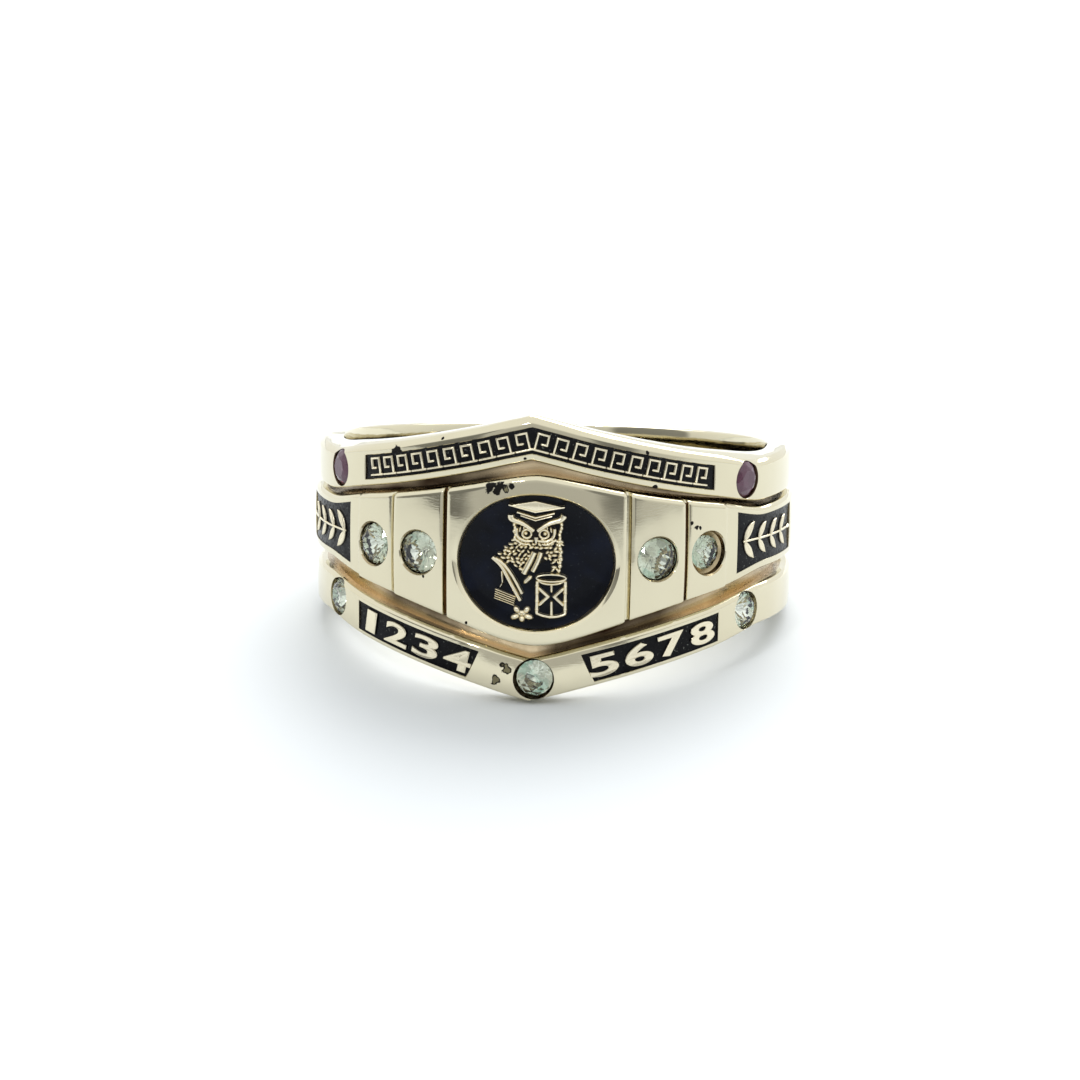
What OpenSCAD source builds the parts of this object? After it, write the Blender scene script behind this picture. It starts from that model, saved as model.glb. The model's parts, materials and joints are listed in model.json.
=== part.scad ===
// Class ring: three stacked gold bands cast in one piece, with an enamelled owl signet,
// four enamelled panels and nine small stones. It lies on its side, as it rests by itself.
// Every piece is drawn about the finger hole's axis, front towards -Y, and rest() lays it down.

/* [Finger hole] */
// Inner diameter of the ring
bore_d = 18.2; // [17:0.1:20]
// Gold between the finger and the grooves that part the bands
sleeve_t = 0.45; // [0.4:0.05:0.6]

/* [Signet band] */
// Wall of the signet band behind its side panels
signet_wall = 1.25; // [1.15:0.05:1.5]
// Top edge at the front, above the middle plane
signet_top_front = 3.48; // [3.4:0.02:3.7]
// Top edge at the sides
signet_top_side = 1.45; // [1.4:0.05:1.6]
// Top edge at the back
signet_top_back = 0.75; // [0.6:0.05:0.9]
// Bottom edge at the front, below the middle plane
signet_low_front = 3.45; // [3.4:0.02:3.7]
// Bottom edge at the sides
signet_low_side = 1.1; // [1.05:0.05:1.3]
// Bottom edge at the back
signet_low_back = 0.75; // [0.6:0.05:0.9]

/* [Upper band] */
// Wall of the upper band
upper_wall = 1.1; // [1.05:0.05:1.4]
// Height of the band at the front
upper_h_front = 1.77; // [1.7:0.01:2.1]
// Height of the band at the sides, where its stones need no more
upper_h_side = 1.7; // [1.65:0.05:2]
// Height of the band at the back
upper_h_back = 1.45; // [1.2:0.05:1.8]

/* [Lower band] */
// Wall of the lower band
lower_wall = 1.15; // [1.1:0.05:1.4]
// Height of the band at the front
lower_h_front = 1.74; // [1.72:0.01:2]
// Height of the band at the sides
lower_h_side = 1.66; // [1.64:0.02:1.9]
// Height of the band at the back
lower_h_back = 1.3; // [1.1:0.05:1.6]

/* [Grooves] */
// Groove above the signet band, at the front
upper_gap_front = 0.55; // [0.4:0.05:0.7]
// Groove above the signet band, at the sides
upper_gap_side = 0.27; // [0.2:0.01:0.4]
// Groove below the signet band, at the front
lower_gap_front = 0.66; // [0.5:0.02:0.8]
// Groove below the signet band, at the sides
lower_gap_side = 0.72; // [0.6:0.02:0.85]
// Both grooves at the back
back_gap = 0.26; // [0.2:0.02:0.4]

/* [Stepped plates] */
// Angle from the front to the centre plate's edge
centre_half_angle = 20.4; // [20:0.1:21]
// Angle from the front to the end of the inner shoulder plate
inner_end_angle = 34.8; // [34.6:0.1:35.4]
// Angle from the front to the end of the outer shoulder plate
outer_end_angle = 47.5; // [47.3:0.1:49]
// Height of each step, from the side panel up to the centre plate
plate_step = 0.14; // [0.1:0.01:0.18]
// Width of the groove between two plates
plate_gap = 0.22; // [0.15:0.01:0.3]
// Angle that the signet band is turned to the right of the other two
signet_turn = 1.2; // [0:0.1:1.5]

/* [Oval signet] */
// Width of the oval
oval_w = 6.5; // [6.2:0.1:6.9]
// Height of the oval
oval_h = 5.44; // [5.2:0.02:5.6]
// Distance of the oval's middle below the band's
oval_drop = 0.08; // [0:0.01:0.15]
// Bevel round the oval
oval_bevel = 0.2; // [0.1:0.02:0.22]
// Depth of the enamel's surface below the centre plate
oval_depth = 0.42; // [0.36:0.02:0.5]
// Height of the raised figures
figure_relief = 0.26; // [0.16:0.02:0.3]

/* [Enamel] */
// Thickness of the enamel
enamel_t = 0.2; // [0.12:0.02:0.24]
// Depth of a panel's enamel below the gold round it
panel_sink = 0.1; // [0.06:0.01:0.14]
// Space round each inlay
fit_gap = 0.02; // [0.01:0.005:0.04]
// Gold left above the upper panel
upper_margin_top = 0.44; // [0.4:0.01:0.5]
// Gold left below the upper panel
upper_margin_low = 0.27; // [0.2:0.01:0.32]
// Half the width of the upper panel
upper_panel_x = 7.2; // [6.8:0.05:7.3]
// Gold left above the lower panels
lower_margin_top = 0.33; // [0.28:0.01:0.38]
// Gold left below the lower panels
lower_margin_low = 0.15; // [0.1:0.01:0.2]
// Outer end of each lower panel, from the middle
lower_panel_out = 7.5; // [7.3:0.05:7.55]
// Inner end of each lower panel, at its top
lower_panel_in = 2.1; // [1.9:0.05:2.3]
// Angle from the front to the near end of each side panel
side_near_angle = 51; // [50.6:0.1:53]
// Angle from the front to the far end of each side panel
side_far_angle = 80; // [76:0.5:84]
// Gold left above and below each side panel
side_margin = 0.3; // [0.25:0.01:0.35]

/* [Stones] */
// Diameter of the two upper stones
upper_stone_d = 1.5; // [1.3:0.01:1.52]
// Diameter of the four shoulder stones
shoulder_stone_d = 1.8; // [1.6:0.01:1.85]
// Diameter of the three lower stones
lower_stone_d = 1.62; // [1.4:0.01:1.63]
// Gold between the upper panel and the stone on each side
upper_stone_space = 1.3; // [0.8:0.05:1.6]
// Angle from the front to each inner shoulder stone
inner_stone_angle = 27.4; // [26.9:0.1:28]
// Angle from the front to each outer shoulder stone
outer_stone_angle = 41.3; // [40.8:0.1:41.6]
// Angle of the lower band's front stone to the right of the middle
front_stone_angle = 1; // [0:0.1:1.5]
// Gold above and below each upper stone's seat, at least
upper_stone_rim = 0.06; // [0.02:0.01:0.1]
// Gold between each lower panel and the stone beside it
lower_stone_space = 0.96; // [0.6:0.02:1.4]
// Space between a stone and its drilled seat
seat_gap = 0.03; // [0.02:0.005:0.04]
// Depth of a stone's girdle below the gold
stone_sink = 0.16; // [0.12:0.01:0.2]

/* [Raised ornament] */
// Width of the meander's line
meander_line = 0.11; // [0.08:0.01:0.14]
// Keys in each half of the meander
meander_keys = 10; // [8:1:11]
// Width of each numeral's stroke, as a share of its height
numeral_weight = 0.275; // [0.22:0.005:0.3]
// Leaf pairs on each side panel's sprig
leaf_pairs = 4; // [3:1:5]

/* [Hidden] */
$fn = 64;

bore_r = bore_d / 2;
sleeve_r = bore_r + sleeve_t;
upper_r = bore_r + upper_wall;
lower_r = bore_r + lower_wall;
signet_r = bore_r + signet_wall;
outer_plate_r = signet_r + plate_step;
inner_plate_r = outer_plate_r + plate_step;
centre_plate_r = inner_plate_r + plate_step;
far = 1.15 * centre_plate_r;
over = 3 * enamel_t;

// Closest that a bend in a panel's outline comes to the panel's end
bend_clear = 0.2;
// How far a lower panel's inner end leans, as a share of its height
panel_lean = 0.42;
// Part of the lower band's radius behind which its lower edge is a flat foot
foot_share = 0.68;

// How an edge falls from the front, 1, to the sides, 0, at shares of the upper band's radius
AT = 0;
CHEVRON = 1;
CREST = 2;
BELLY = 3;
FORM = [
    [0,    1,     1,    1],
    [0.05, 0.945, 0.975, 0.985],
    [0.12, 0.872, 0.91, 0.925],
    [0.2,  0.775, 0.83, 0.82],
    [0.35, 0.615, 0.66, 0.61],
    [0.55, 0.4,   0.45, 0.37],
    [0.74, 0.2,   0.25, 0.19],
    [0.88, 0,     0,    0]];

// Heights of the band edges above the middle plane, each at the front, the sides and the back
signet_top = [signet_top_front, signet_top_side, signet_top_back];
signet_low = -[signet_low_front, signet_low_side, signet_low_back];
upper_low = signet_top + [upper_gap_front, upper_gap_side, back_gap];
upper_side = max(upper_h_side, upper_stone_d + 2 * (seat_gap + upper_stone_rim));
upper_top = upper_low + [upper_h_front, upper_side, upper_h_back];
lower_top = signet_low - [lower_gap_front, lower_gap_side, back_gap];
lower_low = lower_top - [lower_h_front, lower_h_side, lower_h_back];

// The ring leans back until its lower point's inner edge and the foot behind touch the surface
tilt = atan((lower_low[2] - lower_low[0]) / (lower_r + bore_r));
foot_start = foot_share * lower_r;
foot_slope = tan(tilt);
lift = -lower_low[0] * cos(tilt) - bore_r * sin(tilt);
front_y = max(lower_r * cos(tilt) - lower_low[0] * sin(tilt),
    centre_plate_r * cos(signet_turn) * cos(tilt) - signet_low[0] * sin(tilt));
back_y = upper_r * cos(tilt) + upper_top[2] * sin(tilt);

oval_face_r = centre_plate_r - oval_depth;
panel_depth = panel_sink + enamel_t;
shoulder_gap_angle = plate_gap / 2 / signet_r * 180 / PI;

// Shares of a stone's diameter that its crown, girdle and pavilion take
crown_share = 0.15;
girdle_share = 0.03;
pavilion_share = 0.38;
function stone_depth(d) = d * (pavilion_share + girdle_share);

function mix(a, b, t) = a + (b - a) * t;
function fall(x, column, i = 0) =
    let (u = min(abs(x) / upper_r, 0.8799))
    u <= FORM[i + 1][AT]
        ? mix(FORM[i][column], FORM[i + 1][column], (u - FORM[i][AT]) / (FORM[i + 1][AT] - FORM[i][AT]))
        : fall(x, column, i + 1);
function height(edge, column, x) = mix(edge[1], edge[0], fall(x, column));
function stations(lo, hi) = [for (row = FORM) if (row[AT] * upper_r > lo && row[AT] * upper_r < hi)
    row[AT] * upper_r];
function both_ways(xs) = concat([for (i = [len(xs) - 1:-1:1]) -xs[i]], xs);
function flipped(list) = [for (i = [len(list) - 1:-1:0]) list[i]];
function run_of(edge, column, xs, shift = 0) = [for (x = xs) [x, height(edge, column, x) + shift]];

// Lays the finished ring on the surface, centred over the origin
module rest() {
    translate([0, (front_y - back_y) / 2, lift]) rotate([-tilt, 0, 0]) children();
}

// Turns a shape drawn upright round its own Z to face outwards at an angle, at a height
module facing(angle, z = 0) {
    rotate([0, 0, angle]) translate([0, 0, z]) rotate([90, 0, 0]) children();
}

// Turns a piece of the signet band from the ring's middle to the band's own
module turned() {
    rotate([0, 0, signet_turn]) children();
}

module drum(r) {
    translate([0, 0, -far]) cylinder(r = r, h = 2 * far, $fn = 180);
}

// Space between two edges, over the front half and the back half
module band_form(top, top_column, low, low_column) {
    xs = both_ways([for (row = FORM) row[AT] * upper_r]);
    rotate([90, 0, 0]) linear_extrude(far)
        polygon(concat([[-far, top[1]]], run_of(top, top_column, xs), [[far, top[1]], [far, low[1]]],
            flipped(run_of(low, low_column, xs)), [[-far, low[1]]]));
    rotate([90, 0, 90]) translate([0, 0, -far]) linear_extrude(2 * far)
        polygon(concat([[0, top[1]], [upper_r, top[2]], [far, top[2]]],
            back_low(low), [[0, low[1]]]));
}

// The back of an edge from below, with the foot of the lowest edge flat on the surface
function back_low(low) = low == lower_low
    ? [[far, low[2] + (far - lower_r) * foot_slope],
        [foot_start, low[2] - (lower_r - foot_start) * foot_slope]]
    : [[far, low[2]], [upper_r, low[2]]];

module sector(from, to) {
    translate([0, 0, -far]) linear_extrude(2 * far)
        polygon([[0, 0], 2 * far * [sin(from), -cos(from)], 2 * far * [sin(to), -cos(to)]]);
}

module plate(r, from, to) {
    intersection() {
        drum(r);
        turned() sector(from + shoulder_gap_angle, to - shoulder_gap_angle);
        turned() band_form(signet_top, CREST, signet_low, BELLY);
    }
}

module bands() {
    intersection() {
        drum(sleeve_r);
        band_form(upper_top, CHEVRON, lower_low, CHEVRON);
    }
    intersection() {
        drum(upper_r);
        band_form(upper_top, CHEVRON, upper_low, CHEVRON);
    }
    intersection() {
        drum(signet_r);
        turned() band_form(signet_top, CREST, signet_low, BELLY);
    }
    intersection() {
        drum(lower_r);
        band_form(lower_top, CHEVRON, lower_low, CHEVRON);
    }
}

module plates() {
    plate(centre_plate_r, -centre_half_angle, centre_half_angle);
    plate(inner_plate_r, centre_half_angle, inner_end_angle);
    plate(inner_plate_r, -inner_end_angle, -centre_half_angle);
    plate(outer_plate_r, inner_end_angle, outer_end_angle);
    plate(outer_plate_r, -outer_end_angle, -inner_end_angle);
}

// An ellipse as wide and high as the signet's oval, grown by a margin
module oval(grow = 0) {
    scale([oval_w / 2 + grow, oval_h / 2 + grow]) circle(r = 1, $fn = 96);
}

module oval_column(r, grow = 0) {
    facing(signet_turn, -oval_drop) translate([0, 0, r]) linear_extrude(far - r) oval(grow);
}

// Outline of the upper panel, shrunk by a gap
module upper_panel(gap = 0) {
    half = upper_panel_x - gap;
    xs = both_ways(concat(stations(-1, half - bend_clear), [half]));
    polygon(concat(run_of(upper_top, CHEVRON, xs, -upper_margin_top - gap),
        flipped(run_of(upper_low, CHEVRON, xs, upper_margin_low + gap))));
}

// Outline of the right lower panel, whose inner end is square to its slope
module lower_panel(gap = 0) {
    out = lower_panel_out - gap;
    top_in = lower_panel_in + gap;
    low_in = top_in + (lower_h_front - lower_margin_top - lower_margin_low) * panel_lean;
    top_xs = concat([top_in], stations(top_in + bend_clear, out - bend_clear), [out]);
    low_xs = concat([low_in], stations(low_in + bend_clear, out - bend_clear), [out]);
    polygon(concat(run_of(lower_top, CHEVRON, top_xs, -lower_margin_top - gap),
        flipped(run_of(lower_low, CHEVRON, low_xs, lower_margin_low + gap))));
}

// Outline of a side panel in depth and height
module side_panel(gap = 0) {
    near = -signet_r * cos(side_near_angle) + gap;
    away = -signet_r * cos(side_far_angle) - gap;
    near_x = signet_r * sin(side_near_angle);
    away_x = signet_r * sin(side_far_angle);
    polygon([
        [near, height(signet_top, CREST, near_x) - side_margin - gap],
        [away, height(signet_top, CREST, away_x) - side_margin - gap],
        [away, height(signet_low, BELLY, away_x) + side_margin + gap],
        [near, height(signet_low, BELLY, near_x) + side_margin + gap]]);
}

// Shell of enamel between two radii
module shell(outer, inner) {
    difference() {
        drum(outer);
        drum(inner);
    }
}

module along_y() {
    rotate([90, 0, 0]) linear_extrude(far) children();
}

module along_x(side) {
    rotate([90, 0, side * 90]) mirror([side < 0 ? 1 : 0, 0, 0]) linear_extrude(far) children();
}

// Angle of a stone that stands beside a panel's end
function beside(end_x, r, d, space) = asin(end_x / r) + (space + d / 2) / r * 180 / PI;
upper_stone_angle = beside(upper_panel_x, upper_r, upper_stone_d, upper_stone_space);
lower_stone_angle = beside(lower_panel_out, lower_r, lower_stone_d, lower_stone_space);

// Height of each stone's centre, in the middle of its band
upper_stone_x = upper_r * sin(upper_stone_angle);
upper_stone_z = (height(upper_top, CHEVRON, upper_stone_x) + height(upper_low, CHEVRON, upper_stone_x)) / 2;
lower_stone_x = lower_r * sin(lower_stone_angle);
lower_stone_z = (height(lower_top, CHEVRON, lower_stone_x) + height(lower_low, CHEVRON, lower_stone_x)) / 2;
front_stone_x = lower_r * sin(front_stone_angle);
front_stone_z = (height(lower_top, CHEVRON, front_stone_x) + height(lower_low, CHEVRON, front_stone_x)) / 2;

module seat(d, r, angle, z) {
    floor_r = r - stone_sink - stone_depth(d) - seat_gap;
    facing(angle, z) translate([0, 0, floor_r]) cylinder(d = d + 2 * seat_gap, h = far - floor_r, $fn = 48);
}

module seats() {
    for (side = [-1, 1]) {
        seat(upper_stone_d, upper_r, side * upper_stone_angle, upper_stone_z);
        seat(shoulder_stone_d, inner_plate_r, signet_turn + side * inner_stone_angle, 0);
        seat(shoulder_stone_d, outer_plate_r, signet_turn + side * outer_stone_angle, 0);
        seat(lower_stone_d, lower_r, side * lower_stone_angle, lower_stone_z);
    }
    seat(lower_stone_d, lower_r, front_stone_angle, front_stone_z);
}

module panel_recesses() {
    difference() {
        along_y() upper_panel();
        drum(upper_r - panel_depth);
    }
    difference() {
        union() {
            along_y() lower_panel();
            mirror([1, 0, 0]) along_y() lower_panel();
        }
        drum(lower_r - panel_depth);
    }
    difference() {
        turned() {
            along_x(1) side_panel();
            along_x(-1) side_panel();
        }
        drum(signet_r - panel_depth);
    }
}

module oval_recess() {
    difference() {
        oval_column(oval_face_r - enamel_t - over);
        drum(oval_face_r - enamel_t);
    }
    facing(signet_turn, -oval_drop) translate([0, 0, centre_plate_r - oval_bevel])
        scale([1, oval_h / oval_w, 1])
            cylinder(r1 = oval_w / 2, r2 = oval_w / 2 + oval_bevel + over, h = oval_bevel + over, $fn = 96);
}

module ring_body() {
    color("goldenrod") rest() difference() {
        union() {
            bands();
            plates();
        }
        drum(bore_r);
        panel_recesses();
        oval_recess();
        seats();
    }
}

module upper_enamel() {
    color("#14161c") rest() intersection() {
        shell(upper_r - panel_sink, upper_r - panel_depth + fit_gap);
        along_y() upper_panel(fit_gap);
    }
}

module lower_enamel(side) {
    color("#14161c") rest() intersection() {
        shell(lower_r - panel_sink, lower_r - panel_depth + fit_gap);
        mirror([side < 0 ? 1 : 0, 0, 0]) along_y() lower_panel(fit_gap);
    }
}

module side_enamel(side) {
    color("#14161c") rest() intersection() {
        shell(signet_r - panel_sink, signet_r - panel_depth + fit_gap);
        turned() along_x(side) side_panel(fit_gap);
    }
}

module oval_enamel() {
    color("#0d1222") rest() intersection() {
        shell(oval_face_r, oval_face_r - enamel_t + fit_gap);
        oval_column(oval_face_r - enamel_t - over, -fit_gap);
    }
}

function ring_points(count, r, z, turn = 0) = [for (i = [0:count - 1])
    [r * cos((i + turn) * 360 / count), r * sin((i + turn) * 360 / count), z]];

// A round brilliant: table, star, kite and girdle facets above, mains and lower girdle facets below
module brilliant(d) {
    r = d / 2;
    table_ring = ring_points(8, 0.56 * r, crown_share * d);
    star_ring = ring_points(8, 0.79 * r, 0.58 * crown_share * d, 0.5);
    girdle_top = ring_points(16, r, 0);
    girdle_low = ring_points(16, r, -girdle_share * d);
    main_ring = ring_points(8, 0.4 * r, -(girdle_share + 0.56 * pavilion_share) * d, 0.5);
    culet = [[0, 0, -stone_depth(d)]];
    points = concat(table_ring, star_ring, girdle_top, girdle_low, main_ring, culet);
    star = 8;
    top = 16;
    low = 32;
    main = 48;
    tip = 56;
    crown = [for (i = [0:7]) let (n = (i + 1) % 8, a = top + 2 * i, b = a + 1, c = top + (2 * i + 2) % 16)
        each [[i, n, star + i], [i, star + i, a], [n, c, star + i], [star + i, b, a], [star + i, c, b]]];
    edge = [for (i = [0:15]) let (n = (i + 1) % 16)
        each [[top + i, top + n, low + n], [top + i, low + n, low + i]]];
    base = [for (i = [0:7]) let (p = (i + 7) % 8, a = low + 2 * i, b = a + 1, c = low + (2 * i + 2) % 16)
        each [[main + i, a, b], [main + i, b, c], [tip, a, main + i], [tip, main + p, a]]];
    polyhedron(points, concat([[7, 6, 5, 4, 3, 2, 1, 0]], crown, edge, base));
}

module stone(d, r, angle, z, tint) {
    color(tint) rest() facing(angle, z) translate([0, 0, r - stone_sink]) brilliant(d);
}

module upper_stone(side) {
    stone(upper_stone_d, upper_r, side * upper_stone_angle, upper_stone_z, "#6d4a66");
}

module shoulder_stone(r, angle) {
    stone(shoulder_stone_d, r, signet_turn + angle, 0, "#cfdcd6");
}

module lower_stone(angle, z) {
    stone(lower_stone_d, lower_r, angle, z, "#cfdcd6");
}

// Outline of a line of even width through points, with mitred corners
function unit(v) = v / norm(v);
function left_of(v) = [-v[1], v[0]];
function corner(p, i, w) =
    let (before = unit(p[max(i, 1)] - p[max(i, 1) - 1]),
        after = unit(p[min(i + 1, len(p) - 1)] - p[min(i, len(p) - 2)]),
        middle = unit(left_of(before) + left_of(after)))
    middle * w / 2 / (middle * left_of(before));
function ribbon(p, w) = concat(
    [for (i = [0:len(p) - 1]) p[i] + corner(p, i, w)],
    [for (i = [len(p) - 1:-1:0]) p[i] - corner(p, i, w)]);

// One key of the meander, standing on its base line
module key(pitch, h, line) {
    bar = 0.14 * pitch;
    right = 0.86 * pitch;
    hook_z = 0.36 * h;
    polygon([[-fit_gap, 0], [pitch + fit_gap, 0], [pitch + fit_gap, line], [bar + line, line],
        [bar + line, h - line], [right - line, h - line], [right - line, hook_z + line],
        [0.44 * pitch, hook_z + line], [0.44 * pitch, hook_z], [right, hook_z], [right, h], [bar, h],
        [bar, line], [-fit_gap, line]]);
}

// Middle of the upper panel's height at a distance from the front
function upper_panel_z(x) = (height(upper_top, CHEVRON, x) - upper_margin_top
    + height(upper_low, CHEVRON, x) + upper_margin_low) / 2;

module meander() {
    end_angle = asin((upper_panel_x - 2 * meander_line) / upper_r);
    step = end_angle / meander_keys;
    key_h = upper_h_front - upper_margin_top - upper_margin_low - 2.6 * meander_line;
    base_r = upper_r - panel_sink + fit_gap / 2;
    pitch = 2 * base_r * tan(step / 2);
    color("goldenrod") rest() for (side = [0, 1]) mirror([side, 0, 0])
        for (i = [0:meander_keys - 1]) {
            near_z = upper_panel_z(upper_r * sin(i * step));
            away_z = upper_panel_z(upper_r * sin((i + 1) * step));
            facing((i + 0.5) * step, (near_z + away_z) / 2) translate([0, 0, base_r])
                rotate([0, 0, atan((away_z - near_z) / pitch)])
                    linear_extrude(panel_sink) translate([-pitch / 2, -key_h / 2])
                        key(pitch, key_h, meander_line);
        }
}

// Centre lines of the plain numerals 1 to 8, as shares of their width and height
NUMERALS = [
    [[[0.22, 0.78], [0.55, 1], [0.55, 0]]],
    [[[0, 0.74], [0.16, 1], [0.84, 1], [1, 0.8], [0.94, 0.56], [0.1, 0], [1, 0]]],
    [[[0, 1], [0.95, 1], [0.5, 0.56], [0.86, 0.5], [1, 0.3], [0.84, 0], [0.14, 0], [0, 0.2]]],
    [[[0.72, 0], [0.72, 1]], [[0.66, 1], [0, 0.28], [1, 0.28]]],
    [[[0.95, 1], [0.1, 1], [0.06, 0.56], [0.84, 0.56], [1, 0.36], [1, 0.16], [0.84, 0], [0, 0]]],
    [[[0.9, 1], [0.24, 1], [0, 0.76], [0, 0.2], [0.2, 0], [0.8, 0], [1, 0.2]],
        [[1, 0.16], [1, 0.4], [0.82, 0.56], [0.02, 0.56]]],
    [[[0, 1], [1, 1], [0.4, 0]]],
    [[[0.5, 0.54], [0.12, 0.54], [0.05, 1], [0.95, 1], [0.88, 0.54], [0.5, 0.54]],
        [[0.5, 0.54], [0, 0.54], [0, 0], [1, 0], [1, 0.54], [0.5, 0.54]]]];

module numeral(value, w, h, stroke) {
    for (line = NUMERALS[value - 1])
        polygon(ribbon([for (p = line) [(p[0] - 0.5) * (w - stroke), (p[1] - 0.5) * (h - stroke)]], stroke));
}

// Middle of the right lower panel's height at a distance from the front
function lower_panel_z(x) = (height(lower_top, CHEVRON, x) - lower_margin_top
    + height(lower_low, CHEVRON, x) + lower_margin_low) / 2;

// Four numerals along a lower panel, read from left to right
module numerals(side, first) {
    numeral_h = 0.72 * (lower_h_front - lower_margin_top - lower_margin_low);
    stroke = numeral_weight * numeral_h;
    near = asin((lower_panel_in + 0.6 * stroke) / lower_r);
    away = asin((lower_panel_out - 0.3 * stroke) / lower_r);
    step = (away - near) / 4;
    base_r = lower_r - panel_sink + fit_gap / 2;
    pitch = 2 * base_r * tan(step / 2);
    color("goldenrod") rest() for (i = [0:3]) {
        from = near + i * step;
        z = [lower_panel_z(lower_r * sin(from)), lower_panel_z(lower_r * sin(from + step))];
        order = side < 0 ? 3 - i : i;
        facing(side * (from + step / 2), (z[0] + z[1]) / 2) translate([0, 0, base_r])
            rotate([0, 0, side * atan((z[1] - z[0]) / pitch)])
                linear_extrude(panel_sink)
                    numeral(first + order, 0.84 * pitch, numeral_h, stroke);
    }
}

// Leaf pointing along +X, from the origin, bounded by two arcs
module leaf(length, width) {
    r = (length * length + width * width) / 4 / width;
    intersection() {
        translate([length / 2, width / 2 - r]) circle(r, $fn = 48);
        translate([length / 2, r - width / 2]) circle(r, $fn = 48);
    }
}

// A stem with leaf pairs, growing away from the stones along a side panel
module sprig(side) {
    step = (side_far_angle - side_near_angle) / (leaf_pairs + 1);
    base_r = signet_r - panel_sink + fit_gap;
    stem_w = 0.12;
    color("goldenrod") rest() for (i = [0:leaf_pairs]) {
        angle = side_near_angle + (i + 0.45) * step;
        x = signet_r * sin(angle);
        panel_h = height(signet_top, CREST, x) - height(signet_low, BELLY, x) - 2 * side_margin;
        z = (height(signet_top, CREST, x) + height(signet_low, BELLY, x)) / 2;
        reach = base_r * tan(step) + fit_gap;
        leaf_l = 0.42 * panel_h;
        room = base_r * tan(side_far_angle - angle) - 3 * fit_gap;
        turned() facing(side * angle, z) mirror([side < 0 ? 1 : 0, 0, 0]) translate([0, 0, base_r])
            linear_extrude(panel_sink) {
                if (i < leaf_pairs) {
                    translate([-stem_w / 2, -stem_w / 2]) square([reach, stem_w]);
                    for (turn = [-50, 50]) rotate(turn) leaf(leaf_l, 0.42 * leaf_l);
                } else
                    leaf(min(0.8 * leaf_l, room), 0.36 * leaf_l);
            }
    }
}

// Raises a figure, drawn with the oval's half height as 1, from the oval's enamel
module raised(share = 1) {
    intersection() {
        shell(oval_face_r + share * figure_relief, oval_face_r + fit_gap);
        turned() along_y() translate([0, -oval_drop]) scale(oval_h / 2) children();
    }
}

module owl() {
    color("goldenrod") rest() {
        raised() {
            polygon([[-0.42, 0.85], [0, 0.94], [0.42, 0.85], [0, 0.75]]);
            polygon([[-0.41, 0.7], [-0.2, 0.62], [-0.22, 0.78], [0, 0.74], [0.22, 0.78], [0.2, 0.62],
                [0.41, 0.7], [0.34, 0.56], [0.05, 0.41], [0, 0.3], [-0.05, 0.41], [-0.34, 0.56]]);
            for (side = [-1, 1]) translate([side * 0.14, 0.47]) circle(0.05, $fn = 24);
        }
        raised(0.7) difference() {
            union() {
                translate([0, 0.48]) circle(0.31);
                translate([-0.06, 0.18]) circle(0.34);
                polygon([[-0.37, 0.1], [0.08, -0.08], [-0.2, -0.4]]);
            }
            for (side = [-1, 1]) translate([side * 0.14, 0.47]) difference() {
                circle(0.1, $fn = 24);
                circle(0.065, $fn = 24);
            }
        }
    }
}

module hourglass() {
    color("goldenrod") rest() raised(0.85) translate([0.25, -0.5]) {
        for (side = [-1, 1]) {
            translate([-0.22, side * 0.31 - 0.03]) square([0.44, 0.06]);
            translate([side * 0.19 - 0.02, -0.31]) square([0.04, 0.62]);
            polygon([[-0.14, side * 0.3], [0.14, side * 0.3], [0.02, 0], [-0.02, 0]]);
        }
    }
}

module book_and_quill() {
    color("goldenrod") rest() {
        raised(0.7) translate([-0.53, -0.5]) rotate(-12) difference() {
            translate([-0.18, -0.09]) square([0.36, 0.18]);
            for (line = [-1:1]) translate([-0.2, line * 0.05 - 0.01]) square([0.3, 0.02]);
        }
        raised() translate([-0.28, -0.62]) rotate(122) leaf(0.8, 0.13);
    }
}

module flower() {
    color("goldenrod") rest() raised(0.8) translate([-0.2, -0.75]) {
        circle(0.07, $fn = 24);
        for (i = [0:4]) rotate(i * 72 + 18) translate([0.09, 0]) circle(0.055, $fn = 24);
    }
}

ring_body();
upper_enamel();
oval_enamel();
side_enamel(-1);  // side_enamel_left
side_enamel(1);  // side_enamel_right
lower_enamel(-1);  // lower_enamel_left
lower_enamel(1);  // lower_enamel_right
meander();
owl();
hourglass();
book_and_quill();
flower();
sprig(-1);  // sprig_left
sprig(1);  // sprig_right
numerals(-1, 1);  // numerals_left
numerals(1, 5);  // numerals_right
upper_stone(-1);  // upper_stone_left
upper_stone(1);  // upper_stone_right
shoulder_stone(outer_plate_r, -outer_stone_angle);  // outer_stone_left
shoulder_stone(outer_plate_r, outer_stone_angle);  // outer_stone_right
shoulder_stone(inner_plate_r, -inner_stone_angle);  // inner_stone_left
shoulder_stone(inner_plate_r, inner_stone_angle);  // inner_stone_right
lower_stone(-lower_stone_angle, lower_stone_z);  // lower_stone_left
lower_stone(lower_stone_angle, lower_stone_z);  // lower_stone_right
lower_stone(front_stone_angle, front_stone_z);  // lower_stone_front
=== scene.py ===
"""Class ring: three stacked bands of pale gold, an enamelled owl signet and nine small stones.

The ring is modelled in millimetres about its own finger hole, front towards -Y, and each finished
piece is then laid on the surface in metres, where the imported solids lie.
"""

import json
import logging
import random
from collections.abc import Callable, Iterator, Sequence
from contextlib import contextmanager
from dataclasses import dataclass
from enum import Enum
from math import asin, atan, atan2, cos, degrees, exp, hypot, pi, radians, sin, tan, tau

import bpy
from bpy.types import Material, Node, NodeSocket, NodeTree, Object
from mathutils import Matrix, Vector


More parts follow.
